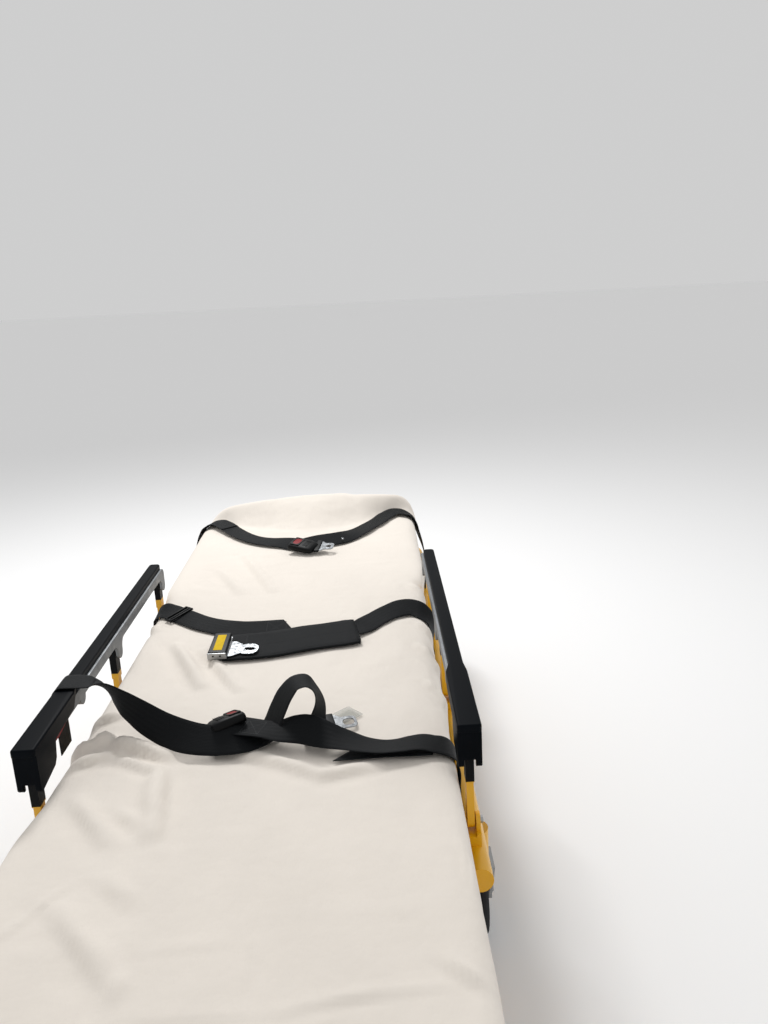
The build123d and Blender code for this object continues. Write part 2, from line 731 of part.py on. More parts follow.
for side_name, side in (("left", -1), ("right", 1)):
    make_rail(f"rail_{side_name}", side)
    make_rail_cap(f"rail_cap_{side_name}", side)
    make_rail_latch(f"rail_latch_{side_name}", side)
    make_brackets(f"rail_brackets_{side_name}", side)
    for place, y in zip(("head", "middle", "foot"), ARM_YS):
        make_arm(f"rail_arm_{side_name}_{place}", side, y)

# Foot lift bar with its two clamps on the foot bow, and the release handle between them
LIFT_Y = 1016.0
LIFT_Z = 262.0
RELEASE_Y = 985.0
RELEASE_Z = 240.0
LIFT_CLAMP_X = 150.0
with BuildPart() as foot_lift_bar:
    for x in (-LIFT_CLAMP_X - 8, LIFT_CLAMP_X):
        with BuildSketch(Plane.YZ.offset(x)):
            with Locations((FOOT_BOW_Y, TUBE_Z)):
                Circle(TUBE_R + 6)
            with Locations((LIFT_Y - 6, LIFT_Z)):
                Circle(18)
            with Locations((RELEASE_Y, RELEASE_Z)):
                Circle(12)
            make_hull()
            with Locations((FOOT_BOW_Y, TUBE_Z)):
                Circle(TUBE_R, mode=Mode.SUBTRACT)
        extrude(amount=8)
    with BuildSketch(Plane.YZ.offset(-LIFT_CLAMP_X - 30)):
        with Locations((LIFT_Y, LIFT_Z)):
            Circle(14)
    extrude(amount=2 * LIFT_CLAMP_X + 60)
save(foot_lift_bar, "foot_lift_bar")

with BuildPart() as release_handle:
    with BuildSketch(Plane.YZ.offset(-LIFT_CLAMP_X)):
        with Locations((RELEASE_Y, RELEASE_Z)):
            Circle(6)
    extrude(amount=2 * LIFT_CLAMP_X)
    with BuildSketch(Plane.YZ.offset(-65)):
        with Locations((RELEASE_Y, RELEASE_Z)):
            Circle(10)
    extrude(amount=130)
save(release_handle, "release_handle")

# Pole socket: a saddle block on the right side tube with a blind upright bore
SOCKET_X = 330.0
SOCKET_Y = 620.0
with BuildPart() as pole_socket:
    with BuildSketch(Plane.XY.offset(300)):
        with Locations((SOCKET_X, SOCKET_Y)):
            Circle(12.5)
        with Locations((310, SOCKET_Y)):
            Rectangle(12, 40)
        make_hull()
    extrude(amount=60)
    with BuildSketch(Plane.XZ.offset(40 - SOCKET_Y)):
        with Locations((TUBE_X, TUBE_Z)):
            Circle(TUBE_R)
    extrude(amount=-80, mode=Mode.SUBTRACT)
    with BuildSketch(Plane.XY.offset(305)):
        with Locations((SOCKET_X, SOCKET_Y)):
            Circle(9.5)
    extrude(amount=60, mode=Mode.SUBTRACT)
save(pole_socket, "pole_socket")

# Straps: name, the route of the middle of the webbing over the mattress as (x, y)
STRAP_W = 50.0
STRAP_T = 2.0
STRAP_Z = MATTRESS_TOP + 1
STRAP_TOP = STRAP_Z + STRAP_T
STRAP_OUT = MATTRESS_HALF + 3
STRAP_FOOT_Z = 345.0
STRAPS = (
    ("strap_legs", ((-STRAP_OUT, 815), (-10, 645), (STRAP_OUT, 925))),
    ("strap_hips", ((-STRAP_OUT, 240), (-120, 70), (140, 70), (STRAP_OUT, 170))),
    ("strap_chest", ((-STRAP_OUT, -262), (-150, -330), (-40, -275), (110, -310), (STRAP_OUT, -365))),
)


def make_strap(name, route):
    """Webbing laid over the mattress and down both of its sides."""
    with BuildPart() as strap:
        with BuildSketch(Plane.XY.offset(STRAP_Z)):
            with BuildLine():
                Polyline(*route)
            trace(line_width=STRAP_W)
            with Locations((0, route[0][1])):
                Rectangle(2 * STRAP_OUT, 600, mode=Mode.INTERSECT)
        extrude(amount=STRAP_T)
        for x, y in (route[0], route[-1]):
            side = 1 if x > 0 else -1
            with BuildSketch(Plane.XY.offset(STRAP_TOP)):
                with Locations((side * (STRAP_OUT - STRAP_T / 2), y)):
                    Rectangle(STRAP_T, STRAP_W)
            extrude(amount=STRAP_FOOT_Z - STRAP_TOP)
        if name == "strap_hips":
            with BuildSketch(Plane.XY.offset(STRAP_TOP)):
                with Locations((10, 70)):
                    RectangleRounded(265, 76, 12)
            extrude(amount=5)
    save(strap, name)


for name, route in STRAPS:
    make_strap(name, route)

# The chest strap's loose end, thrown over the left rail
DRAPE_IN = -RAIL_X + HOOD_HALF + 1.5
DRAPE_OUT = -RAIL_X - HOOD_HALF - 3
DRAPE_FOOT_Y = -232.0
with BuildPart() as strap_drape:
    with BuildSketch(Plane.XZ.offset(-DRAPE_FOOT_Y)):
        with BuildLine():
            Polyline(
                (-STRAP_OUT + 4, STRAP_TOP + 3),
                (DRAPE_IN, RAIL_TOP - 25),
                (DRAPE_IN, RAIL_TOP),
                (DRAPE_IN - 2, RAIL_TOP + 2),
                (DRAPE_OUT + 3, RAIL_TOP + 2),
                (DRAPE_OUT, RAIL_TOP - 3),
                (DRAPE_OUT, RAIL_TOP - 120),
            )
        trace(line_width=STRAP_T)
    extrude(amount=STRAP_W)
save(strap_drape, "strap_drape")


def make_buckle(name, x, y, turn, z, body_w, body_l, body_h):
    """A strap's buckle: a rounded box with its push button, and the plate tongue beside it."""
    plane = Plane(origin=(x, y, z), x_dir=(cos(radians(turn)), sin(radians(turn)), 0), z_dir=(0, 0, 1))
    with BuildPart() as buckle:
        with BuildSketch(plane):
            RectangleRounded(body_l, body_w, 5)
        extrude(amount=body_h, taper=6)
        with BuildSketch(plane.offset(body_h)):
            with Locations((-body_l * 0.12, 0)):
                RectangleRounded(body_l * 0.4, body_w * 0.6, 3)
        extrude(amount=-2, mode=Mode.SUBTRACT)
        with BuildSketch(plane.offset(2)):
            with Locations((body_l * 0.5 + 6, 0)):
                Rectangle(16, body_w * 0.84)
            with Locations((body_l * 0.5 + 20, 0)):
                RectangleRounded(24, body_w * 0.56, 6)
            with Locations((body_l * 0.5 + 20, 0)):
                SlotOverall(12, 7, rotation=90, mode=Mode.SUBTRACT)
        extrude(amount=3)
    save(buckle, name)


make_buckle("buckle_legs", 8, 655, 20, STRAP_TOP + 0.5, 38, 46, 16)
make_buckle("buckle_hips", -112, 68, -8, STRAP_TOP + 5.5, 62, 44, 18)
make_buckle("buckle_chest", -52, -275, -8, STRAP_TOP + 0.5, 42, 62, 18)
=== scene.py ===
"""Looks of the wheeled ambulance stretcher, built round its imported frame.

Run as a script in Blender 4.5. Every piece is in metres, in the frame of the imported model:
+Y runs from the head end to the foot end, +X is the right side seen from the head end.
"""

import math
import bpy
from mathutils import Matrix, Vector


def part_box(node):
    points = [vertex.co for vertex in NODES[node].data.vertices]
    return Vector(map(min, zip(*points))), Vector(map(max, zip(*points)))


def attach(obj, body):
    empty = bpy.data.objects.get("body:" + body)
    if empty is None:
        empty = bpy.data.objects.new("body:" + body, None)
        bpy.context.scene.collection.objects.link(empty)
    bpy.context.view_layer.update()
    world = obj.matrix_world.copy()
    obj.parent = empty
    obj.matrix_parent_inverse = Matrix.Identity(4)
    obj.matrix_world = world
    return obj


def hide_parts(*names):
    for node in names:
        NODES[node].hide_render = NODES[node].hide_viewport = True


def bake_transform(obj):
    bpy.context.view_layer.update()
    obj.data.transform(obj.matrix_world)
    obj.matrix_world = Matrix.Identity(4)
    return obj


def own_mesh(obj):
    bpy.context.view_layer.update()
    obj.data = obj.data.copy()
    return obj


bl_info = {
    "name": "Ambulance Stretcher",
    "version": (1, 0, 0),
    "blender": (4, 5, 0),
    "location": "View3D > Sidebar > Stretcher",
    "description": "Dresses the stretcher's frame with its mattress, sheet, straps, tyres and finishes",
    "category": "Object",
}

import bmesh
import bpy
import numpy as np
from mathutils import Matrix, Vector, noise
from mathutils.bvhtree import BVHTree

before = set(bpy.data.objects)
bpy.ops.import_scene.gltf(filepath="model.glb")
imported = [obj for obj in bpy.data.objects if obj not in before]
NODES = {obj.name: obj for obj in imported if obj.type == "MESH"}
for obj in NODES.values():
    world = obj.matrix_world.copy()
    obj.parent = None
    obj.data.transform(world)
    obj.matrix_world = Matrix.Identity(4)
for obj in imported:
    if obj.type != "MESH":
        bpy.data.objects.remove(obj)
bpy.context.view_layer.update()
MM = 0.001
SIDES = (("left", -1), ("right", 1))

# The camera's place and lens, in metres, degrees and pixels of the 768 x 1024 image
CAMERA_PLACE = (0.1875, -1.51, 1.115)
CAMERA_YAW, CAMERA_PITCH, CAMERA_ROLL = 0.6, 15.0, -3.0
CAMERA_FOCAL_PX, IMAGE_LONG_PX, SENSOR_MM = 880.0, 1024, 36.0
# Half the floor's side, the world's strength, and the lamps: name, place, size, power
FLOOR_REACH, WORLD_STRENGTH = 40, 0.62
LAMPS = (("key", (-0.5, 1.9, 2.8), 0.7, 54.0), ("fill", (2.4, -1.6, 2.2), 2.0, 5.0))
LAMP_AIM = (0, 0, 0.4)

# The mattress, from its solids, and the two ends of its fold
BED_HEAD, BED_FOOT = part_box("mattress_back")[0].y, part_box("mattress_seat")[1].y
# How far along its side a corner of the bed draws the mesh, in corner radii
CORNER_SPREAD = 1.5
MATTRESS_STEP, MATTRESS_TUCK, HEM_RADIUS = 0.012, 0.02, 0.006
# The bedding folded away at the foot: its rise by x, where it starts by x, and where it is full
HUMP_X = (-0.295, -0.26, -0.22, -0.14, -0.02, 0.06, 0.105, 0.125, 0.22, 0.26, 0.285, 0.31)
HUMP_RISE = (0.2, 0.5, 0.68, 0.84, 0.95, 0.97, 0.965, 0.9, 0.86, 0.86, 0.8, 0.6)
HUMP_START_X = (-0.285, -0.24, -0.2, 0.0, 0.15, 0.22, 0.285)
HUMP_START_Y = (0.94, 0.922, 0.875, 0.76, 0.84, 0.925, 0.938)
HUMP_FULL_Y = 0.962
# The sides' swell as (y, share) pairs: on the left past the rail's head end, and on both sides at the feet
SWELL_LEFT_HEAD = ((-0.96, 0.3), (-0.90, 1.0), (-0.53, 1.0), (-0.455, 0.35), (-0.40, 0.3), (-0.33, 0.0))
SWELL_LEFT_FOOT = ((0.28, 0.0), (0.40, 1.0), (0.93, 1.1), (0.97, 1.0))
SWELL_RIGHT_FOOT = ((0.34, 0.0), (0.46, 0.8), (0.90, 0.8), (0.96, 2.1))
# The cloth's settings in its fall
CLOTH = {
    "quality": 5, "mass": 0.12, "air_damping": 2.0, "tension_stiffness": 40, "compression_stiffness": 40,
    "shear_stiffness": 20, "bending_stiffness": 0.4, "vertex_group_mass": "hem", "vertex_group_shrink": "slack",
    "shrink_min": 0.0,
}
CLOTH_ROOM, CORE_ROOM, CORE_FRICTION = 0.0012, 0.001, 8

# Creases in the sheet, in millimetres: from x, y to x, y, half width, height
FOLDS = (
    (-235, -714, -193, -641, 4, 2.6), (-112, -540, -134, -395, 18, 7.5), (-188, -676, -98, -788, 16, 4.6),
    (-92, -784, -99, -820, 8, 2.5), (38, -733, 35, -794, 5, 1.6), (196, -701, 192, -727, 4, 1.5),
    (46, -428, 46, -639, 4, 0.8), (-189, 491, -120, 328, 12, 4), (-144, 600, -49, 330, 12, 4),
    (-206, 51, -127, -129, 12, 6.5), (-150, 20, -60, -150, 10, 4.6), (-283, 178, -259, 132, 8, 4),
    (-283, -331, -240, -301, 10, 9), (-240, -301, -136, -361, 11, 9.5), (-269, -242, -238, -222, 9, 7.5),
    (-264, -369, -220, -347, 9, 8), (-220, -347, -150, -392, 9, 6), (-28, -359, 99, -434, 12, 4.5),
    (99, -434, 168, -416, 12, 4.5), (-236, -460, -169, -553, 14, 5), (-166, -494, -139, -525, 10, 3),
    (-147, -630, -109, -667, 14, 2.6), (-79, -745, 2, -737, 8, 0.6), (73, -833, 167, -817, 6, 1.1),
    (101, -824, 254, -811, 6, 1), (-76, -834, 73, -836, 6, 0.9), (168, -68, 192, -224, 40, -3),
    (289, 52, 282, -235, 6, 3), (268, -595, 276, -668, 6, 4), (237, -784, 263, -812, 8, 3.5),
    (256, -12, 288, -84, 9, 5.8), (253, 205, 288, 140, 9, 5.5), (262, 96, 288, 60, 8, 4.8),
    (260, 318, 288, 262, 9, 5.2), (262, -165, 288, -222, 8, 5.2),
)
# Where the cloth is loose, in metres: centre x, y, reach across and along, weight
SLACK = (
    (-0.2, -0.33, 0.12, 0.09, 1), (0.06, -0.4, 0.14, 0.05, 0.8), (-0.27, -0.1, 0.03, 0.3, 0.5),
    (0.27, -0.1, 0.03, 0.4, 0.7), (-0.2, -0.65, 0.08, 0.15, 0.6), (0.1, -0.85, 0.2, 0.05, 0.8),
    (-0.14, 0.4, 0.08, 0.15, 0.6), (-0.16, 0, 0.06, 0.12, 0.6), (0.27, -0.75, 0.04, 0.2, 0.6),
)

# Each strap's run: centre x, y, z in millimetres, the direction across it in hundredths where it isn't +Y, and in
# the pad its width
LEGS_ROWS = (
    (-283.5, 878, 318), (-289, 878, 308.5), (-302, 878, 304.8), (-315, 879, 309), (-322, 880, 325),
    (-323, 881, 350, 3, 100, 0), (-321.5, 883, 384, 10, 99, 0), (-312, 886, 415, 20, 98, 2),
    (-304, 890, 436, 25, 96, 4), (-294, 895, 451, 35, 93, 6), (-279, 898, 461, 50, 86, 7),
    (-262, 893.5, 465.5, 65, 76, 7), (-236, 866, 467, 75, 66, 8), (-200, 803, 466, 80, 60, 3),
    (-165, 752, 464, 72, 69, 3), (-130, 712, 463.5, 60, 79, 6), (-94, 684, 465, 35, 93, 10),
    (-49, 659, 467, 10, 97, 24), (-6, 630, 468, -1, 90, 35), (43, 647, 470, -23, 88, 41), (97, 670, 469, -37, 84, 39),
    (135, 720, 466, -70, 70, 15), (172, 790, 464, -85, 52, 4), (197, 836, 464, -88, 46, 3),
    (222, 884, 466, -70, 70, 6), (246, 906, 468, -30, 94, 10), (267, 904, 465, -15, 98, 6),
    (284, 900, 457, -18, 98, 3), (296, 893, 442, -22, 97, 0), (304, 886, 416, -22, 97, 0),
    (313, 880, 386, -15, 99, 0), (319, 876, 360, -5, 100, 0), (322, 874, 330), (316, 873, 309.5), (302, 872, 304.8),
    (289, 872, 308.5), (283.5, 872, 318),
)
LEGS_OVERLAP_ROWS = (
    (-290, 893, 457, 40, 90, 6), (-278, 895, 463.5, 50, 86, 7), (-260, 889, 468.5, 65, 76, 7),
    (-236, 862, 469.5, 75, 66, 8), (-214, 826, 469, 80, 60, 5),
)
HIPS_LEFT_ROWS = (
    (-284, 245, 352), (-287.5, 245, 400), (-288.5, 244, 430), (-284, 240, 448, 3, 97, 15),
    (-270, 230, 460, 9, 94, 25), (-250, 215, 464, 13, 96, 15), (-214, 181, 464, 12, 96, 18),
    (-165, 137, 464, 20, 96, 15), (-129, 112, 465, 15, 97, 20), (-90, 88, 468, 5, 96, 26), (-50, 79, 470, 0, 96, 28),
    (-10, 77, 471, 0, 96, 28), (12, 77, 471, 0, 96, 28),
)
PAD_ROWS = (
    (-124, 6, 465.5, 2, 99, 10, 74), (-112, 4, 466, 2, 99, 10, 84), (-98, 3, 466.6, 2, 99, 10, 92),
    (-78, 3, 467, 4, 99, 10, 94), (-26, 7, 467, 0, 99, 11, 94), (10, 16, 467, -1, 99, 11, 94),
    (41, 24, 468, -4, 99, 12, 92), (85, 33, 468, -5, 99, 12, 91), (112, 39, 468, -5, 99, 12, 92),
    (130, 44, 468, -5, 99, 12, 90), (139, 46, 467, -5, 99, 10, 88), (142.5, 47, 465, -5, 99, 8, 84),
    (139, 46, 462.6, -5, 99, 5, 80), (128, 44, 461.4, -5, 99, 3, 78), (96, 34, 461.2, 0, 100, 0, 78),
)
HIPS_RIGHT_ROWS = (
    (100, 50, 464.2, -10, 99, 5), (125, 58, 464.2, -20, 97, 5), (150, 75, 464.5, -20, 96, 15),
    (178, 112, 464, -35, 92, 16), (205, 138, 466, -42, 87, 26), (229, 149, 469, -20, 91, 38),
    (251, 152, 468, -2, 92, 38), (270, 144, 461, 8, 92, 38), (284, 134, 447, 12, 93, 30),
    (288.5, 124, 428, 15, 95, 20), (288, 114, 396, 5, 100, 0), (284, 110, 352),
)
CHEST_LEFT_ROWS = (
    (-317.2, -257, 424), (-317.4, -257, 460), (-317.4, -257, 500), (-316, -257, 529), (-308, -257, 536),
    (-297.5, -257, 536.6), (-283, -257, 536), (-270, -257, 534.5, -2, 100, -5), (-256, -257, 530.5, -10, 96, -25),
    (-243, -262, 525, -26, 84, -48), (-229, -271, 518, -20, 50, -84), (-214, -281, 510, -8, 12, -99),
    (-194, -291, 499, -5, -12, -100), (-169, -304, 487, -15, -35, -92), (-130, -332, 481, -15, -60, -79),
    (-90, -353, 479.5, -6, -78, -62), (-50, -359, 478.5, 3, -82, -57), (-24, -352, 476, 20, -84, -50),
    (-9, -341, 472.5, 50, -78, -35), (4, -322, 468.5, 75, -62, -20),
)
CHEST_RIGHT_ROWS = (
    (-34, -328, 484, -25, 97, 5), (-8, -336, 483.5, -12, 99, 2), (14, -343, 483, -5, 100, 3),
    (34, -349, 484, -5, 97, 25), (52, -352, 486, -5, 88, 45), (68, -354, 486, 0, 82, 57), (86, -360, 483, 10, 85, 50),
    (104, -365, 479, 12, 93, 35), (124, -369, 474, 10, 98, 15), (150, -378, 470, 5, 99, -5),
    (180, -386, 469, 2, 99, -13), (205, -385, 469, 0, 99, -13), (225, -380, 468.5, -2, 99, -8),
    (242, -378, 467, -2, 99, 0), (258, -380, 463.5, 0, 99, 3), (272, -376, 456.5, 0, 100, 3), (283, -370, 444),
    (288.5, -368, 425), (287, -367, 390), (284, -366, 352),
)
# A thin strip of the black webbing on the sheet, just under the right chest strap's near edge
CHEST_UNDER_ROWS = (
    (250, -381, 462), (220, -381, 462), (190, -380, 462), (162, -380, 462), (134, -381, 462),
)
LOOP_ROWS = (
    (-8, -336, 463, -40, 90, 0), (12, -326, 474, -50, 85, 0), (27, -317, 501, -50, 85, 0),
    (39, -311, 522, -45, 88, 0), (55, -305, 536.5, -30, 95, 0), (71, -305, 538, -10, 99, 0),
    (83, -308, 528, 0, 96, -20), (89.5, -314, 508, 22, 92, -35), (86, -322, 487, 45, 85, -25),
    (79, -330, 470, 60, 78, -10), (63, -336, 462.5, 60, 80, 0),
)

# name, rows, width or None for the webbing's own, thickness or None, slant of the far end, body
STRAPS = (
    ("legs_strap", LEGS_ROWS, None, None, 0, "litter"),
    ("legs_strap_overlap", LEGS_OVERLAP_ROWS, None, None, 0, "litter"),
    ("hips_strap_left", HIPS_LEFT_ROWS, None, None, -0.6, "litter"),
    ("hips_strap_right", HIPS_RIGHT_ROWS, None, None, 0, "litter"),
    ("hips_pad", PAD_ROWS, 0.094, 0.0045, 0, "litter"),
    ("chest_strap_left", CHEST_LEFT_ROWS, None, None, 0.5, "fold"),
    ("chest_strap_right", CHEST_RIGHT_ROWS, None, None, 0, "fold"),
    ("chest_strap_end", CHEST_UNDER_ROWS, None, None, -1.1, "fold"),
    ("chest_strap_loop", LOOP_ROWS, None, None, 0, "fold"),
)
STANDS_FOR = {"legs_strap": "strap_legs", "hips_strap_left": "strap_hips", "chest_strap_left": "strap_chest"}
# The chest strap hangs over the left rail up to here, and lies on the bed from here on
DRAPE_END_X = -0.262
# The straps' mesh along and across, the room they keep over the sheet, and how far they are lifted for it
STRAP_STEP, STRAP_COLUMNS, STRAP_ROOM, MOST_LIFT = 0.004, 8, 0.0006, 0.01
SLANT_REACH, RIPPLE_HEIGHT, RIPPLE_RATE = 0.02, 0.0007, 14
# Seams in the webbing: strap, from and to along it, from and to across it, in metres; X marks a boxed cross
SEAMS = (
    ("legs_strap_overlap", 0.035, 0.075, 0.006, 0.042, True), ("hips_strap_left", -0.045, -0.008, 0.006, 0.042, True),
    ("hips_strap_right", 0.004, 0.030, 0.006, 0.042, False), ("hips_pad", 0.060, 0.300, 0.005, 0.087, False),
    ("chest_strap_right", 0.012, 0.040, 0.006, 0.042, True),
)
STITCH_PITCH, SEAM_MARGIN = 0.0034, 0.004

# Where the rail arms' black knuckle starts, which climbs towards the foot, and the height of their lower pivots
KNUCKLE_Z, KNUCKLE_CLIMB, ARM_PIVOT_Z = 0.448, 0.022, 0.372
# Rows of rivets in metres: body, solid, height, first and last place along the bed, pitch
RIVET_ROWS = (
    ("litter", "seat_deck", 0.353, -0.29, 0.95, 0.085), ("base", "base_tracks", 0.185, 0.45, 0.82, 0.06),
    ("litter", "litter_tracks", 0.292, 0.45, 0.82, 0.06),
)


# ---------------------------------------------------------------- small helpers
def linear(code):
    """An sRGB hex colour as linear red, green and blue."""
    parts = [int(code[i : i + 2], 16) / 255 for i in (1, 3, 5)]
    return [c / 12.92 if c <= 0.04045 else ((c + 0.055) / 1.055) ** 2.4 for c in parts]


def add_node(tree, kind, inputs=None, **settings):
    """Adds a node, sets its properties, and fills or links its inputs."""
    node = tree.nodes.new(kind)
    for key, value in settings.items():
        setattr(node, key, value)
    for key, value in (inputs or {}).items():
        if isinstance(value, bpy.types.NodeSocket):
            tree.links.new(value, node.inputs[key])
        else:
            node.inputs[key].default_value = value
    return node


def new_object(name, mesh, smooth):
    """An object at the origin that carries the mesh."""
    mesh.polygons.foreach_set("use_smooth", [smooth] * len(mesh.polygons))
    mesh.update()
    made = bpy.data.objects.new(name, mesh)
    bpy.context.scene.collection.objects.link(made)
    return made


def mesh_object(name, vertices, faces, smooth=True):
    """An object from plain vertices and faces."""
    mesh = bpy.data.meshes.new(name)
    mesh.from_pydata([tuple(v) for v in vertices], [], faces)
    mesh.validate()
    return new_object(name, mesh, smooth)


def bmesh_object(name, bm, sharp=None):
    """An object from a bmesh, which is freed. Edges past the angle sharp, in degrees, stay crisp."""
    mesh = bpy.data.meshes.new(name)
    bm.to_mesh(mesh)
    bm.free()
    made = new_object(name, mesh, True)
    if sharp:
        mesh.set_sharp_from_angle(angle=math.radians(sharp))
    return made


def plain_mesh(obj, modifier):
    """The object's mesh as its one modifier leaves it, and the modifier gone."""
    made = bpy.data.meshes.new_from_object(obj.evaluated_get(bpy.context.evaluated_depsgraph_get()))
    obj.modifiers.remove(modifier)
    return made


def places_of(obj, normals=False):
    """The vertices' places, or their normals, one row each."""
    values = np.empty(len(obj.data.vertices) * 3)
    if normals:
        obj.data.vertex_normals.foreach_get("vector", values)
    else:
        obj.data.vertices.foreach_get("co", values)
    return values.reshape(-1, 3)


def move_to(obj, places):
    obj.data.vertices.foreach_set("co", places.ravel())
    obj.data.update()


def paint(obj, material):
    obj.data.materials.clear()
    obj.data.materials.append(material)
    return obj


def skin(bm, rings, turn=None, wrap=False, caps=False):
    """Closed rings of points joined to a skin that faces outwards.

    turn places points that are in millimetres, wrap joins the last ring to the first, and caps closes both ends.
    """
    rows = [[bm.verts.new(turn @ (Vector(p) * MM) if turn else p) for p in ring] for ring in rings]
    made = []
    for a, b in zip(rows, rows[1:] + rows[:1] if wrap else rows[1:]):
        made += [bm.faces.new((a[k - 1], a[k], b[k], b[k - 1])) for k in range(len(a))]
    if caps:
        made += [bm.faces.new(rows[0][::-1]), bm.faces.new(rows[-1])]
    bmesh.ops.recalc_face_normals(bm, faces=made)


def uv_layer(obj, name, places):
    """Stores a place in metres for each vertex as a UV map."""
    layer = obj.data.uv_layers.new(name=name)
    index = np.empty(len(obj.data.loops), dtype=np.int32)
    obj.data.loops.foreach_get("vertex_index", index)
    layer.data.foreach_set("uv", np.asarray(places, float)[index].ravel())


# ---------------------------------------------------------------- settings
def colour_prop(name, description, code):
    return bpy.props.FloatVectorProperty(
        name=name, description=description, subtype="COLOR", size=3, min=0, max=1, default=linear(code)
    )


def length_prop(name, description, metres):
    return bpy.props.FloatProperty(
        name=name, description=description, default=metres, unit="LENGTH", subtype="DISTANCE", precision=4
    )


class StretcherColours(bpy.types.PropertyGroup):
    """The colours of the stretcher's finishes."""

    sheet: colour_prop("Sheet", "Laundered cotton of the bed sheet", "#ECE4DA")
    webbing: colour_prop("Webbing", "Woven nylon of the straps", "#0F1113")
    paint: colour_prop("Frame paint", "Powder coat of the tubes", "#F0B408")
    cap: colour_prop("Rail cap", "Moulded nylon of the side rails' caps", "#0A0D11")
    casting: colour_prop("Rail casting", "Cast aluminium of the side rails", "#84878A")
    lever: colour_prop("Levers", "Moulded red of the levers and buttons", "#7E1119")
    tyre: colour_prop("Tyres", "Rubber of the wheels", "#1B1C1E")
    floor: colour_prop("Floor", "The pale floor under the stretcher", "#FBFBFB")


class StretcherSheet(bpy.types.PropertyGroup):
    """The sheet's shape over the mattress."""

    half_width: length_prop("Half width", "From the bed's middle to the sheet's side", 0.285)
    overhang: length_prop("Overhang", "How far the sheet reaches past the foam's ends", 0.004)
    corner: length_prop("Corner radius", "Radius of the bed's corners in plan", 0.06)
    edge_radius: length_prop("Edge radius", "Radius of the bed's top edge", 0.03)
    top: length_prop("Top", "Height of the sheet's top above the floor", 0.457)
    base: length_prop("Base", "Height of the tuck under the mattress", 0.3775)
    tuck: length_prop("Tuck", "Cloth turned under the mattress", 0.025)
    gap: length_prop("Gap", "Room between the sheet and the mattress", 0.0035)
    core_gap: length_prop("Core gap", "How far the foam stands back from the creased sheet", 0.006)
    step: length_prop("Mesh step", "Spacing of the cloth's mesh before it is subdivided", 0.0125)
    hump: length_prop("Foot hump", "Rise of the bedding folded away under the sheet's foot end", 0.070)
    bulge: length_prop("Bulge", "Swelling of the sides past the rails' ends", 0.016)
    slack: bpy.props.FloatProperty(
        name="Slack", description="Share by which the loose parts of the cloth are longer than the bed", default=0.05
    )
    frames: bpy.props.IntProperty(name="Frames", description="Steps the cloth is let fall for", default=30)
    seed: bpy.props.IntProperty(name="Seed", description="Seed of the slack's pattern", default=4)


class StretcherStraps(bpy.types.PropertyGroup):
    """The webbing's measures."""

    width: length_prop("Width", "Width of the webbing", 0.048)
    thickness: length_prop("Thickness", "Thickness of the webbing", 0.0014)
    stitch_length: length_prop("Stitch length", "Length of one stitch", 0.0024)
    thread: length_prop("Thread", "Width of the sewing thread", 0.0008)


class StretcherHardware(bpy.types.PropertyGroup):
    """The measures of the bolts, rivets, rail edges and tyres."""

    pivot_bolt: length_prop("Pivot bolt", "Width of the hexagon heads at the pivots", 0.011)
    frame_rivet: length_prop("Frame rivet", "Width of the dome rivets in the deck and tracks", 0.007)
    cap_edge: length_prop("Cap edge", "Radius of the rail caps' edges", 0.004)
    casting_edge: length_prop("Casting edge", "Radius of the rail castings' edges", 0.002)
    tread_groove: length_prop("Tread groove", "Depth of the tyres' grooves", 0.0012)


# ---------------------------------------------------------------- materials
def new_material(name, base, roughness, metallic=0.0, sockets=None):
    """A principled material and its tree. Sockets are the shader's own constants."""
    material = bpy.data.materials.new(name)
    material.use_nodes = True
    tree = material.node_tree
    tree.nodes.clear()
    inputs = {"Base Color": (*base, 1.0), "Roughness": roughness, "Metallic": metallic, **(sockets or {})}
    shader = add_node(tree, "ShaderNodeBsdfPrincipled", inputs)
    add_node(tree, "ShaderNodeOutputMaterial", {"Surface": shader.outputs[0]})
    return material, tree, shader


def grain(tree, scale, detail=3.0, stretch=None, source=None):
    """A noise value on the piece, its pattern stretched by dividing its place. Cells where detail is None."""
    place = source or add_node(tree, "ShaderNodeTexCoord").outputs["Object"]
    if stretch:
        place = add_node(tree, "ShaderNodeMapping", {"Vector": place, "Scale": stretch}).outputs[0]
    if detail is None:
        return add_node(tree, "ShaderNodeTexVoronoi", {"Vector": place, "Scale": scale}).outputs["Distance"]
    return add_node(tree, "ShaderNodeTexNoise", {"Vector": place, "Scale": scale, "Detail": detail}).outputs["Fac"]


def spread(tree, value, low, high, from_low=0.3, from_high=0.7):
    """The value carried from its own range to low and high."""
    return add_node(
        tree, "ShaderNodeMapRange",
        {"Value": value, "From Min": from_low, "From Max": from_high, "To Min": low, "To Max": high},
    ).outputs[0]


def tint(tree, value, dark, light):
    """A colour between dark, which may be a socket, and light."""
    dark = dark if isinstance(dark, bpy.types.NodeSocket) else (*dark, 1.0)
    return add_node(
        tree, "ShaderNodeMix", {"Factor": value, "A": dark, "B": (*light, 1.0)}, data_type="RGBA"
    ).outputs[2]


def maths(tree, operation, *values):
    return add_node(tree, "ShaderNodeMath", dict(enumerate(values)), operation=operation).outputs[0]


def relief(tree, shader, height, distance, strength=1.0, under=None):
    """Lets a height, in metres times distance, turn the light on the surface."""
    inputs = {"Height": height, "Distance": distance, "Strength": strength}
    if under is not None:
        inputs["Normal"] = under
    normal = add_node(tree, "ShaderNodeBump", inputs).outputs[0]
    tree.links.new(normal, shader.inputs["Normal"])
    return normal


def shade(colour, share):
    return [c * share for c in colour]


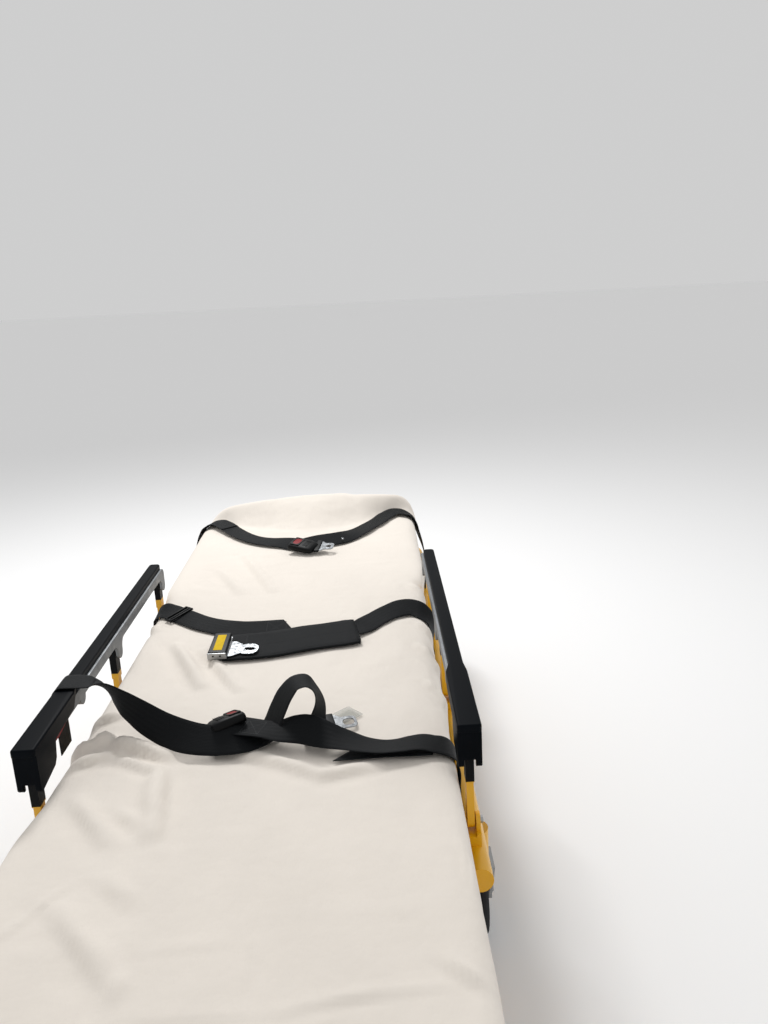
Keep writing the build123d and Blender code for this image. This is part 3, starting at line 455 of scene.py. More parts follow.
# A noise is its scale, detail and stretch. A tone is a noise, the dark and light share of the colour, and the part
# of the noise it spreads over. A gloss is a noise and the roughness from and to. A bump is a noise, its depth in
# metres and its strength.
WORN, DIE_LINES, DUST = (24.0, 5.0, (1.0, 0.12, 1.0)), (700.0, 2.0, (1.0, 0.01, 1.0)), (35.0, 6.0)
COAT = {"Coat Weight": 0.3, "Coat Roughness": 0.22}
RECIPES = {
    # Orange peel breaks up the highlight, and the tone drifts a little along each tube
    "powder_coat": dict(
        roughness=0.4, tone=((7.0,), 0.86, 1), gloss=((30.0,), 0.34, 0.48), bump=((900.0, 2.0), 0.00025, 0.7),
        sockets=COAT,
    ),
    # A fine spark texture with satin wear along the rail, so long edges catch the light unevenly
    "moulded_nylon": dict(
        roughness=0.42, tone=(WORN, 0.75, 1.45, 0.3, 0.7), gloss=(WORN, 0.34, 0.52),
        bump=((1100.0, 2.0), 0.00018, 0.6), sockets={"Specular IOR Level": 0.12},
    ),
    # Grey sand casting with a blasted grain and duller hollows
    "cast_aluminium": dict(
        roughness=0.5, metallic=0.75, tone=((18.0, 4.0), 0.75, 1.15), gloss=((60.0,), 0.42, 0.62),
        bump=((1400.0, 3.0), 0.0003, 0.8),
    ),
    # Bright metal whose plating varies in patches, with hair scratches
    "plated_steel": dict(
        roughness=0.34, metallic=1.0, tone=((45.0, 5.0), 0.82, 1), gloss=((90.0,), 0.255, 0.459),
        bump=((500.0, 2.0, (0.08, 1.0, 1.0)), 0.00006, 0.5),
    ),
    # Extruded track: fine die lines that run along the bed
    "drawn_aluminium": dict(
        roughness=0.38, metallic=1.0, tone=(DIE_LINES, 0.8, 1), gloss=(DIE_LINES, 0.3, 0.48),
        bump=(DIE_LINES, 0.0001, 0.6),
    ),
    # Matt polyurethane with scuffs and dust in its grain
    "wheel_rubber": dict(
        roughness=0.72, tone=(DUST, 1, 2.6, 0.45, 0.8), gloss=(DUST, 0.62, 0.85), bump=((800.0, 4.0), 0.0003, 0.7),
        sockets={"Specular IOR Level": 0.35},
    ),
    # Pressed sheet with a pebbled face, which dulls its shine
    "pebbled_plastic": dict(roughness=0.55, tone=((12.0,), 0.85, 1.15), bump=((420.0, None), 0.0004, 0.6)),
    # The mattress cover: welded vinyl with a fine skin grain
    "coated_vinyl": dict(
        roughness=0.48, tone=((5.0,), 0.85, 1.1), bump=((260.0, 4.0), 0.0006, 0.6), sockets={"Coat Weight": 0.1}
    ),
    # A blank printed label: flat colour, a little worn at random
    "printed_label": dict(
        roughness=0.6, tone=((160.0, 6.0), 0.9, 1, 0.35, 0.6), sockets={"Specular IOR Level": 0.1}
    ),
    # A blank card of clear film: the sheet shows through it
    "clear_film": dict(roughness=0.3, tone=((25.0,), 0.9, 1), sockets={"Alpha": 0.3}),
}
# finish: recipe, material, colour or the setting that holds it, and what it changes in the recipe
FINISHES = {
    "yellow": ("powder_coat", "powder_coated_steel", "paint", {}),
    "black": ("powder_coat", "black_powder_coat", "#121315", {}),
    "cap": (
        "moulded_nylon", "moulded_rail_cap", "cap",
        {"bump": ((800.0, 2.0), 0.00018, 0.6), "sockets": {"Specular IOR Level": 0.03}},
    ),
    "moulding": ("moulded_nylon", "moulded_nylon", "#0B0C0D", {}),
    "lever": ("moulded_nylon", "moulded_red_acetal", "lever", {}),
    "casting": ("cast_aluminium", "cast_aluminium", "casting", {}),
    "zinc": ("plated_steel", "zinc_plated_steel", "#B3B5B6", {}),
    "chrome": (
        "plated_steel", "chromed_steel", "#A6A9AC",
        {"roughness": 0.16, "tone": ((90.0, 5.0), 0.82, 1), "gloss": ((180.0,), 0.12, 0.216)},
    ),
    "track": ("drawn_aluminium", "drawn_aluminium", "#B4B6B8", {}),
    "tyre": ("wheel_rubber", "wheel_rubber", "tyre", {}),
    # Near black: the hips buckle's dark pins, and painted shade in the press-button buckles' mouths
    "dark_pins_and_painted_shade": ("pebbled_plastic", "shadowed_plastic", "#060607", {}),
    "hub": ("pebbled_plastic", "glass_filled_nylon", "#5E6164", {}),
    "deck": ("pebbled_plastic", "polyethylene_sheet", "#24272A", {}),
    "thread": ("pebbled_plastic", "bonded_thread", "#26282B", {}),
    "vinyl": ("coated_vinyl", "coated_vinyl", "#27303E", {}),
    "label": ("printed_label", "printed_label", "#E3BE08", {}),
    "card": ("clear_film", "clear_film", "#A9ADA6", {}),
}
MATERIALS = {}


def mottled(name, base, roughness, metallic=0.0, tone=None, gloss=None, bump=None, sockets=None):
    """A material made by one of the RECIPES."""
    material, tree, shader = new_material(name, base, roughness, metallic, sockets)
    if tone:
        pattern, dark, light, *reach = tone
        drift = spread(tree, grain(tree, *pattern), 0.0, 1.0, *(reach or (0.0, 1.0)))
        tree.links.new(tint(tree, drift, shade(base, dark), shade(base, light)), shader.inputs["Base Color"])
    if gloss:
        pattern, low, high = gloss
        tree.links.new(spread(tree, grain(tree, *pattern), low, high), shader.inputs["Roughness"])
    if bump:
        pattern, depth, strength = bump
        relief(tree, shader, grain(tree, *pattern), depth, strength)
    return material, tree, shader


def rail_arm_paint(base, black):
    """Yellow bars that end in a black moulded knuckle under the rail, whose paint is duller."""
    material, tree, shader = mottled("powder_coated_arm", base, **{**RECIPES["powder_coat"], "gloss": None})
    drift = shader.inputs["Base Color"].links[0].from_socket
    place = add_node(tree, "ShaderNodeTexCoord").outputs["Object"]
    split = add_node(tree, "ShaderNodeSeparateXYZ", {"Vector": place}).outputs
    height = maths(tree, "SUBTRACT", split["Z"], maths(tree, "MULTIPLY", split["Y"], KNUCKLE_CLIMB))
    knuckle = spread(tree, height, 0.0, 1.0, KNUCKLE_Z - 0.0004, KNUCKLE_Z + 0.0004)
    tree.links.new(tint(tree, knuckle, drift, black), shader.inputs["Base Color"])
    tree.links.new(spread(tree, knuckle, COAT["Coat Weight"], 0.0, 0.0, 1.0), shader.inputs["Coat Weight"])
    tree.links.new(spread(tree, knuckle, 0.5, 0.1, 0.0, 1.0), shader.inputs["Specular IOR Level"])
    return material


# The webbing's weave in metres: half its width, the pitch of its ribs and threads, the V's length and lean, and
# where its tight edges start and are full
WEB_MIDDLE, RIB_PITCH, THREAD_PITCH, VEE_LENGTH, VEE_LEAN = 0.024, 0.0017, 0.0022, 0.004, 0.9
SELVAGE_START, SELVAGE_FULL = 0.0205, 0.0225


def woven_nylon_webbing(base):
    """Ribs that cross in a shallow V and two tight edges, from the strap's own metres, with a soft sheen."""
    material, tree, shader = new_material(
        "woven_nylon_webbing", base, 0.6,
        sockets={"Sheen Weight": 0.025, "Sheen Roughness": 0.4, "Specular IOR Level": 0.1},
    )
    along, across = add_node(
        tree, "ShaderNodeSeparateXYZ", {"Vector": add_node(tree, "ShaderNodeUVMap", uv_map="Cloth").outputs[0]}
    ).outputs[:2]
    vee = maths(tree, "MULTIPLY", maths(tree, "PINGPONG", across, VEE_LENGTH), VEE_LEAN)
    ribs = maths(tree, "SINE", maths(tree, "MULTIPLY", maths(tree, "ADD", along, vee), 2 * math.pi / RIB_PITCH))
    threads = maths(tree, "SINE", maths(tree, "MULTIPLY", across, 2 * math.pi / THREAD_PITCH))
    weave = maths(tree, "ADD", maths(tree, "MULTIPLY", ribs, 0.5), maths(tree, "MULTIPLY", threads, 0.35))
    off_middle = maths(tree, "ABSOLUTE", maths(tree, "SUBTRACT", across, WEB_MIDDLE))
    selvage = spread(tree, off_middle, 0.0, 1.2, SELVAGE_START, SELVAGE_FULL)
    # The weave's raised ribs are painted lighter: a painted highlight on their tops, over a darker tone that varies
    # at random
    lit = maths(tree, "MULTIPLY", maths(tree, "ADD", weave, 1.0), 0.5)
    dark = tint(tree, grain(tree, 60.0, 4.0), shade(base, 0.7), base)
    tree.links.new(tint(tree, lit, dark, shade(base, 1.6)), shader.inputs["Base Color"])
    relief(tree, shader, maths(tree, "ADD", weave, selvage), 0.00022, 0.8)
    return material


def laundered_cotton(base):
    """Plain weave, faint slubs and soft pressed wrinkles, so the white isn't flat in raking light."""
    material, tree, shader = new_material(
        "laundered_cotton", base, 0.88,
        sockets={"Sheen Weight": 0.12, "Sheen Roughness": 0.6, "Specular IOR Level": 0.2},
    )
    uv = add_node(tree, "ShaderNodeUVMap", uv_map="Cloth").outputs[0]
    soft = spread(tree, grain(tree, 9.0, 4.0, (1.0, 0.5, 1.0), uv), 0.0, 1.0)
    tree.links.new(tint(tree, soft, shade(base, 0.955), base), shader.inputs["Base Color"])
    under = None
    # The pressed wrinkles, their ridges and the threads: noise, depth, strength
    for pattern, depth, strength in (
        ((16.0, 4.0, (1.0, 0.45, 1.0)), 0.010, 0.55),
        ((38.0, 3.0, (0.7, 1.0, 1.0)), 0.0022, 0.45),
        ((1.0, 2.0, (260.0, 1400.0, 1.0)), 0.00012, 0.5),
    ):
        under = relief(tree, shader, grain(tree, *pattern, uv), depth, strength, under)
    return material


def build_materials():
    """Every finish by its short name."""
    colours = bpy.context.scene.stretcher_colours
    made = {
        "arm": rail_arm_paint(colours.paint, linear("#0D0E10")),
        "webbing": woven_nylon_webbing(colours.webbing),
        "sheet": laundered_cotton(colours.sheet),
    }
    for finish, (recipe, name, colour, changes) in FINISHES.items():
        base = linear(colour) if colour.startswith("#") else getattr(colours, colour)
        made[finish] = mottled(name, base, **{**RECIPES[recipe], **changes})[0]
    return made


NODE_FINISH = (
    ("rail_brackets_", "yellow"), ("rail_arm_", "arm"), ("rail_latch_", "lever"), ("rail_cap_", "cap"),
    ("rail_", "casting"), ("tyre_", "tyre"), ("load_tyre_", "tyre"), ("hub_", "hub"), ("load_hub_", "hub"),
    ("fork_", "zinc"), ("brake_", "lever"), ("base_frame", "yellow"), ("base_tracks", "track"),
    ("litter_tracks", "track"), ("leg_", "yellow"), ("rollers_", "moulding"), ("litter_frame", "yellow"),
    ("head_frame", "yellow"), ("backrest_frame", "yellow"), ("seat_deck", "deck"), ("backrest_deck", "deck"),
    ("foot_lift_bar", "black"), ("release_handle", "lever"), ("pole_socket", "moulding"),
    ("strap_", "webbing"), ("buckle_", "moulding"),
)


class STRETCHER_OT_finishes(bpy.types.Operator):
    """Gives every solid of the frame its finish"""

    bl_idname = "stretcher.finishes"
    bl_label = "Frame Finishes"

    def execute(self, context):
        MATERIALS.update(build_materials())
        for name, obj in NODES.items():
            finish = next((finish for prefix, finish in NODE_FINISH if name.startswith(prefix)), None)
            if finish:
                paint(obj, MATERIALS[finish])
        return {"FINISHED"}


# ---------------------------------------------------------------- mattress and sheet
def bed_shell(half, head, foot, corner, profile, step):
    """A rounded bed shape: a grid on top, then a ring for each (distance, offset, height) of the profile.

    Gives the vertices, their flat places, the faces, the last ring, the top grid's rim and the grid's size.
    """
    core_x, low_y, high_y = half - corner, head + corner, foot - corner
    nx, ny = round(2 * core_x / step), round((high_y - low_y) / step)
    xs, ys = np.linspace(-core_x, core_x, nx + 1), np.linspace(low_y, high_y, ny + 1)
    flat = [(x, y) for y in ys for x in xs]
    vertices = [(x, y, profile[0][2]) for x, y in flat]
    starts = [j * (nx + 1) + i for j in range(ny) for i in range(nx)]
    faces = [(a, a + 1, a + nx + 2, a + nx + 1) for a in starts]
    wide, deep = 2 * core_x, high_y - low_y
    sides = (
        ([(i, 0) for i in range(nx)], (0, -1), (1, 0), wide), ([(nx, j) for j in range(ny)], (1, 0), (0, 1), deep),
        ([(nx - i, ny) for i in range(nx)], (0, 1), (-1, 0), wide),
        ([(0, ny - j) for j in range(ny)], (-1, 0), (0, -1), deep),
    )
    # The rim's points: index, outward normal, direction to the nearer corner and distance from it
    rim = []
    for cells, normal, along, length in sides:
        for k, (i, j) in enumerate(cells):
            gone = length * k / len(cells)
            ahead = gone > length / 2
            toward = np.array(along) * (1 if ahead else -1)
            rim.append((j * (nx + 1) + i, np.array(normal), toward, length - gone if ahead else gone))

    def out_from(entry, reach):
        """Where a rim point goes when the rectangle grows by reach, with round corners."""
        index, normal, toward, away = entry
        arc, drawn = reach * math.pi / 4, CORNER_SPREAD * corner
        walk = away * (drawn + arc) / drawn if away < drawn else away + arc
        at_corner = np.array(flat[index]) + toward * away
        if walk >= arc:
            return at_corner - toward * (walk - arc) + normal * reach
        angle = (arc - walk) / reach
        return at_corner + reach * (normal * math.cos(angle) + toward * math.sin(angle))

    edge = inner = [entry[0] for entry in rim]
    for distance, reach, height in profile[1:]:
        ring = [len(vertices) + k for k in range(len(rim))]
        vertices += [(*out_from(entry, reach), height) for entry in rim]
        flat += [tuple(out_from(entry, distance)) for entry in rim]
        faces += [(inner[k], ring[k], ring[k + 1 - len(rim)], inner[k + 1 - len(rim)]) for k in range(len(rim))]
        inner = ring
    return np.array(vertices), np.array(flat), faces, inner, edge, (nx + 1) * (ny + 1)


def edge_profile(corner, radius, top, base, under_radius, tuck, step):
    """(distance along the cloth, offset from the core, height) from the top's core, over the edge and under."""
    path, walked, offset, height, heading = [(0.0, 0.0, top)], 0.0, 0.0, top, 0.0
    for kind, size in (
        ("line", corner - radius), ("arc", radius), ("line", top - base - radius - under_radius),
        ("arc", under_radius), ("line", tuck),
    ):
        length = size if kind == "line" else size * math.pi / 2
        count = max(2, round(length / step))
        for k in range(count):
            if kind == "line":
                angle, stride = math.radians(heading), length / count
            else:
                angle = math.radians(heading + 90 * (k + 0.5) / count)
                stride = 2 * size * math.sin(math.pi / 4 / count)
            offset += math.cos(angle) * stride
            height -= math.sin(angle) * stride
            walked += length / count
            path.append((walked, offset, height))
        heading += 90 if kind == "arc" else 0
    return path


def fold_field(x, y):
    """The height that the creases of FOLDS add at points x, y of the bed: a ridge that fades to its ends, and a
    valley on one side of it."""
    total = np.zeros_like(x)
    for x0, y0, x1, y1, width, height in FOLDS:
        run, width = np.array([x1 - x0, y1 - y0]) / 1000, width / 1000
        length = np.hypot(*run)
        dx, dy = x - x0 / 1000, y - y0 / 1000
        near = np.clip((dx * run[0] + dy * run[1]) / length**2, 0, 1)
        away = np.hypot(dx - near * run[0], dy - near * run[1])
        side = (dx * run[1] - dy * run[0]) / length
        ridge = np.exp(-((away / width) ** 2))
        past_end = np.maximum(away - np.abs(side), 0)
        valley = np.exp(-(((side - 1.3 * width) / width) ** 2) - (past_end / width) ** 2)
        total += height / 1000 * (ridge - 0.9 * valley) * (0.6 + 0.6 * np.sin(np.pi * near))
    return total


def cloth_noise(points, scale, seed):
    """One noise value for each point, its place stretched by scale."""
    shift, scale = Vector((seed * 3.7, seed * 1.3, seed * 2.1)), Vector(scale)
    return np.array([noise.noise(Vector(p) * scale + shift) for p in points])


def share_up(z, s):
    """How far up the mattress a height is, from 0 to 1."""
    return np.clip((z - s.base) / (s.top - s.base), 0, 1)


def shaped(vertices, s):
    """Lifts the bed over what is folded away at its foot, and lets its sides swell past the ends of the rails, where
    nothing presses on them."""
    x, y, z = vertices.T
    start = np.interp(x, HUMP_START_X, HUMP_START_Y)
    t = np.clip((y - start) / (HUMP_FULL_Y - start), 0, 1)
    rise = t * t * (3 - 2 * t)
    vertices[:, 2] += s.hump * np.interp(x, HUMP_X, HUMP_RISE) * rise * share_up(z, s)
    upper = np.clip(2 * (z - s.base) / (s.top - s.base), 0, 1)
    left = np.interp(y, *zip(*SWELL_LEFT_HEAD)) + upper * np.interp(y, *zip(*SWELL_LEFT_FOOT))
    right = upper * np.interp(y, *zip(*SWELL_RIGHT_FOOT))
    vertices[:, 0] += s.bulge * np.where(x < 0, -left, right) * np.clip((np.abs(x) - 0.15) / 0.13, 0, 1)


def make_mattress(s):
    """The foam core in its coated cover, just inside the sheet."""
    inset = s.gap
    corner, radius = s.corner - inset, s.edge_radius - inset
    profile = edge_profile(corner, radius, s.top - inset, s.base, radius / 2, MATTRESS_TUCK, MATTRESS_STEP)
    vertices, flat, faces, inner, edge, on_top = bed_shell(
        s.half_width - inset, BED_HEAD - s.overhang + inset, BED_FOOT + s.overhang - inset, corner, profile,
        MATTRESS_STEP,
    )
    shaped(vertices, s)
    below = vertices[:on_top].copy()
    below[:, 2] = s.base
    shift = len(vertices)
    faces += [tuple(shift + k for k in reversed(face)) for face in faces if max(face) < on_top]
    faces += [(inner[k - 1], inner[k], shift + edge[k], shift + edge[k - 1]) for k in range(len(inner))]
    return paint(mesh_object("mattress", np.vstack([vertices, below]), faces), MATERIALS["vinyl"])


def sheet_profile(s):
    return edge_profile(s.corner, s.edge_radius, s.top, s.base, HEM_RADIUS, s.tuck, s.step)


def sheet_flat_size(s):
    """The sheet's width and length before it was fitted, from its run over the edges."""
    run = sheet_profile(s)[-1][0] - s.corner
    return 2 * (s.half_width + run), BED_FOOT - BED_HEAD + 2 * (s.overhang + run)


def make_sheet(s):
    """The fitted sheet before it has fallen, with its held hem and its slack as vertex groups."""
    vertices, flat, faces, *rest = bed_shell(
        s.half_width, BED_HEAD - s.overhang, BED_FOOT + s.overhang, s.corner, sheet_profile(s), s.step
    )
    shaped(vertices, s)
    x, y, z = vertices.T
    lift = np.maximum(fold_field(x, y), 0) * 1.5 + 0.0015 * cloth_noise(vertices, (30, 18, 0), 2)
    vertices[:, 2] += share_up(z, s) * lift
    obj = mesh_object("bed_sheet", vertices, faces)
    uv_layer(obj, "Cloth", flat)
    obj.vertex_groups.new(name="hem").add(np.nonzero(z < s.base + 0.004)[0].tolist(), 1.0, "REPLACE")
    loose = 0.12 + 0.5 * np.clip(cloth_noise(vertices, (6, 5, 0), s.seed) * 2, 0, 1)
    for cx, cy, wide, deep, weight in SLACK:
        loose += weight * np.exp(-(((x - cx) / wide) ** 2) - ((y - cy) / deep) ** 2)
    slack = obj.vertex_groups.new(name="slack")
    for k, weight in enumerate(np.clip(loose, 0, 1)):
        slack.add([k], float(weight), "REPLACE")
    return paint(obj, MATERIALS["sheet"])


def let_fall(sheet, core, s):
    """Lets the cloth settle on the mattress with its hem held, and keeps the shape it ends in."""
    core.modifiers.new("collision", "COLLISION")
    core.collision.thickness_outer = CORE_ROOM
    core.collision.cloth_friction = CORE_FRICTION
    cloth = sheet.modifiers.new("cloth", "CLOTH")
    for key, value in CLOTH.items():
        setattr(cloth.settings, key, value)
    cloth.settings.shrink_max = -s.slack
    cloth.collision_settings.distance_min = CLOTH_ROOM
    cloth.collision_settings.use_self_collision = False
    cloth.point_cache.frame_start, cloth.point_cache.frame_end = 1, s.frames
    for frame in range(1, s.frames + 1):
        bpy.context.scene.frame_set(frame)
    fallen = plain_mesh(sheet, cloth)
    core.modifiers.remove(core.modifiers["collision"])
    points = np.empty(len(fallen.vertices) * 3)
    fallen.vertices.foreach_get("co", points)
    move_to(sheet, points)
    bpy.data.meshes.remove(fallen)
    bpy.context.scene.frame_set(1)


def subdivided(obj):
    """Rounds the mesh once with Subdivision Surface and keeps the result as plain mesh."""
    smooth = obj.modifiers.new("smooth", "SUBSURF")
    smooth.levels = smooth.render_levels = 1
    obj.data = plain_mesh(obj, smooth)


def crease(sheet, s):
    """Adds the photo's own creases to the fallen cloth and keeps it outside the mattress."""
    points = places_of(sheet)
    x, y, z = points.T
    lift = np.maximum(fold_field(x, y) * share_up(z, s), -0.6 * s.gap)
    move_to(sheet, points + places_of(sheet, normals=True) * lift[:, None])


class STRETCHER_OT_sheet(bpy.types.Operator):
    """Makes the mattress and the fitted cotton sheet over it"""

    bl_idname = "stretcher.sheet"
    bl_label = "Mattress and Sheet"

    def execute(self, context):
        s = context.scene.stretcher_sheet
        core = make_mattress(s)
        sheet = make_sheet(s)
        let_fall(sheet, core, s)
        subdivided(sheet)
        crease(sheet, s)
        move_to(core, places_of(core) - places_of(core, normals=True) * s.core_gap)
        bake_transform(core)
        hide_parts("mattress_back", "mattress_fold", "mattress_seat")
        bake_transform(sheet)
        sheet_flat_size(s)
        return {"FINISHED"}


# ---------------------------------------------------------------- webbing
def flowing(rows, step):
    """The rows on a smooth curve through them, one about every step metres of its first three columns."""
    gaps = np.linalg.norm(np.diff(rows[:, :3], axis=0), axis=1)
    at = np.concatenate(([0.0], np.cumsum(gaps)))
    slope = np.gradient(rows, at, axis=0)
    made = []
    for s in np.linspace(0, at[-1], max(3, round(at[-1] / step)) + 1):
        k = min(int(np.searchsorted(at, s, side="right")) - 1, len(gaps) - 1)
        h, t = gaps[k], (s - at[k]) / gaps[k]
        made.append(
            (1 + 2 * t) * (1 - t) ** 2 * rows[k] + t * (1 - t) ** 2 * h * slope[k]
            + t * t * (3 - 2 * t) * rows[k + 1] - t * t * (1 - t) * h * slope[k + 1]
        )
    return np.array(made)


def strap_frames(rows, wide):
    """Centres, unit runs, unit directions across and unit normals along a strap, its distance along and its width."""
    rows = np.array([row if len(row) > 3 else (*row, 0, 100, 0) for row in rows], float)
    path = flowing(rows * ([MM] * 3 + [0.01] * 3 + [MM] * (rows.shape[1] - 6)), STRAP_STEP)
    centre, across = path[:, :3], path[:, 3:6]
    run = np.gradient(centre, axis=0)
    run /= np.linalg.norm(run, axis=1)[:, None]
    across = across - run * np.sum(across * run, axis=1)[:, None]
    across /= np.linalg.norm(across, axis=1)[:, None]
    walked = np.concatenate(([0.0], np.cumsum(np.linalg.norm(np.diff(centre, axis=0), axis=1))))
    widths = path[:, 6] if path.shape[1] > 6 else np.full(len(path), wide)
    return centre, run, across, np.cross(run, across), walked, widths


def surface_of(obj):
    """A search tree of an object's faces, which sits at the origin."""
    return BVHTree.FromPolygons([v.co for v in obj.data.vertices], [tuple(p.vertices) for p in obj.data.polygons])


def kept_off(point, surface, room):
    """How far a point has to move to be room metres outside the surface."""
    near, normal, index, away = surface.find_nearest(point)
    return np.array(normal) * min(max(0.0, room - (Vector(point) - near).dot(normal)), MOST_LIFT)


def strap_mesh(name, rows, wide, thick, surface, part=None, slant=0.0):
    """A flat strap with rounded edges, closed at its ends and lifted off the sheet's surface where it would cut it.

    part "before" or "after" keeps that side of DRAPE_END_X, and slant leans the far end. Its UV map is in metres
    along and across. Gives the strap and its flat size.
    """
    centre, run, across, normal, walked, widths = strap_frames(rows, wide)
    turn = int(np.argmax(centre[:, 0] > DRAPE_END_X))
    keep = {"before": range(turn + 1), "after": range(turn, len(centre)), None: range(len(centre))}[part]
    edge = thick / 2
    # The section: (share of the half width, height), where the two round edges have no height
    shares = [1 - 2 * k / STRAP_COLUMNS for k in range(STRAP_COLUMNS + 1)]
    section = [(v, edge) for v in shares] + [(-1, 0)] + [(-v, -edge) for v in shares] + [(1, 0)]
    rings, places = [], []
    for j in keep:
        half = widths[j] / 2
        ripple = RIPPLE_HEIGHT * noise.noise(Vector((walked[j] * RIPPLE_RATE, wide * 50, rows[0][0])))
        lean = slant * max(0.0, 1 - (walked[-1] - walked[j]) / SLANT_REACH)
        ring = []
        for share, out in section:
            a = share * (half - edge if out else half)
            middle = centre[j] + across[j] * a + normal[j] * ripple * (a / half) ** 3 + run[j] * lean * a
            ring.append(middle + kept_off(middle, surface, edge + STRAP_ROOM) + normal[j] * out)
            places.append((walked[j] + lean * a, a + half))
        rings.append(ring)
    bm = bmesh.new()
    skin(bm, rings, caps=True)
    obj = bmesh_object(name, bm)
    uv_layer(obj, "Cloth", places)
    return paint(obj, MATERIALS["webbing"]), (wide, walked[keep[-1]] - walked[keep[0]])


def seam_places(rows, wide, thick, seam, surface):
    """Stitch places, outward directions and runs along one seam's box, and its cross if it has one."""
    centre, run, across, normal, walked, widths = strap_frames(rows, wide)
    strap, start, end, low, high, crossed = seam
    if start < 0:
        start, end = walked[-1] + start, walked[-1] + end
    a, b, c, d = (start, low), (end, low), (start, high), (end, high)
    made = []
    for (u0, v0), (u1, v1) in [(a, b), (c, d), (a, c), (b, d)] + ([(a, d), (c, b)] if crossed else []):
        steps = max(2, round(math.hypot(u1 - u0, v1 - v0) / STITCH_PITCH))
        for t in (np.arange(steps) + 0.5) / steps:
            u, v = u0 + (u1 - u0) * t, v0 + (v1 - v0) * t
            at = min(int(np.searchsorted(walked, u)), len(walked) - 1)
            reach = widths[at] / 2 - SEAM_MARGIN
            up = normal[at] * (1.0 if normal[at][2] > -0.2 else -1.0)
            place = centre[at] + run[at] * (u - walked[at])
            place += across[at] * min(max(v - widths[at] / 2, -reach), reach)
            place += kept_off(place, surface, thick / 2 + STRAP_ROOM) + up * thick / 2
            along = run[at] * (u1 - u0) + across[at] * (v1 - v0)
            made.append((place, up, along / np.linalg.norm(along)))
    return made


def go_with(obj, body):
    """The piece follows its body, or is baked in place where it lies on the backrest's fold."""
    if body == "fold":
        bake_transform(obj)
    else:
        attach(obj, body)


class STRETCHER_OT_straps(bpy.types.Operator):
    """Lays the webbing straps over the sheet"""

    bl_idname = "stretcher.straps"
    bl_label = "Straps"

    def execute(self, context):
        s = context.scene.stretcher_straps
        surface = surface_of(bpy.data.objects["bed_sheet"])
        for name, rows, wide, thick, slant, body in STRAPS:
            part = "after" if name == "chest_strap_left" else None
            obj, flat = strap_mesh(name, rows, wide or s.width, thick or s.thickness, surface, part, slant)
            go_with(obj, body)
            if name in STANDS_FOR:
                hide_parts(STANDS_FOR[name])
        drape, flat = strap_mesh("chest_strap_drape", CHEST_LEFT_ROWS, s.width, s.thickness, surface, "before")
        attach(drape, "litter")
        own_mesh(drape)
        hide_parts("strap_drape")
        return {"FINISHED"}


# ---------------------------------------------------------------- pieces that repeat
def scatter_tree(name, shape):
    """A tree that sets one small shape on every point, turned by the points' own directions."""
    tree = bpy.data.node_groups.new(name, "GeometryNodeTree")
    for label, kind in (("Geometry", "Geometry"), ("Length", "Float"), ("Width", "Float"), ("Height", "Float"),
                        ("Material", "Material")):
        tree.interface.new_socket(label, in_out="INPUT", socket_type=f"NodeSocket{kind}")
    tree.interface.new_socket("Geometry", in_out="OUTPUT", socket_type="NodeSocketGeometry")
    given = tree.nodes.new("NodeGroupInput").outputs
    facing, along = (
        add_node(tree, "GeometryNodeInputNamedAttribute", {"Name": label}, data_type="FLOAT_VECTOR").outputs[0]
        for label in ("facing", "along")
    )
    upright = add_node(tree, "FunctionNodeAlignRotationToVector", {"Vector": facing}, axis="Z").outputs[0]
    turned = add_node(
        tree, "FunctionNodeAlignRotationToVector", {"Rotation": upright, "Vector": along}, axis="X", pivot_axis="Z"
    ).outputs[0]
    size = add_node(tree, "ShaderNodeCombineXYZ", {"X": given["Length"], "Y": given["Width"], "Z": given["Height"]})
    set_out = add_node(
        tree, "GeometryNodeInstanceOnPoints",
        {"Points": given["Geometry"], "Instance": shape(tree), "Rotation": turned, "Scale": size.outputs[0]},
    )
    real = add_node(tree, "GeometryNodeRealizeInstances", {"Geometry": set_out.outputs[0]})
    finish = add_node(tree, "GeometryNodeSetMaterial", {"Geometry": real.outputs[0], "Material": given["Material"]})
    add_node(tree, "NodeGroupOutput", {"Geometry": finish.outputs[0]})
    return tree


def stitch_shape(tree):
    """One stitch: a small pillow of thread, a unit long, wide and high."""
    return add_node(tree, "GeometryNodeMeshIcoSphere", {"Radius": 0.5, "Subdivisions": 2}).outputs["Mesh"]


def rivet_shape(tree):
    """A low dome, half sunk, a unit wide."""
    return add_node(tree, "GeometryNodeMeshUVSphere", {"Segments": 20, "Rings": 10, "Radius": 0.5}).outputs["Mesh"]


def bolt_shape(tree):
    """A washer under a six-sided head with a turned chamfer, a unit wide and high."""
    joined = tree.nodes.new("GeometryNodeJoinGeometry")
    for kind, lift, sizes in (
        ("Cylinder", 0, {"Vertices": 28, "Radius": 0.62, "Depth": 0.24}),
        ("Cylinder", 0.45, {"Vertices": 6, "Radius": 0.5, "Depth": 0.66}),
        ("Cone", 0.78, {"Vertices": 28, "Radius Top": 0.33, "Radius Bottom": 0.46, "Depth": 0.12}),
    ):
        part = add_node(tree, f"GeometryNodeMesh{kind}", sizes).outputs["Mesh"]
        raised = add_node(tree, "GeometryNodeTransform", {"Geometry": part, "Translation": (0, 0, lift)})
        tree.links.new(raised.outputs[0], joined.inputs[0])
    return joined.outputs[0]


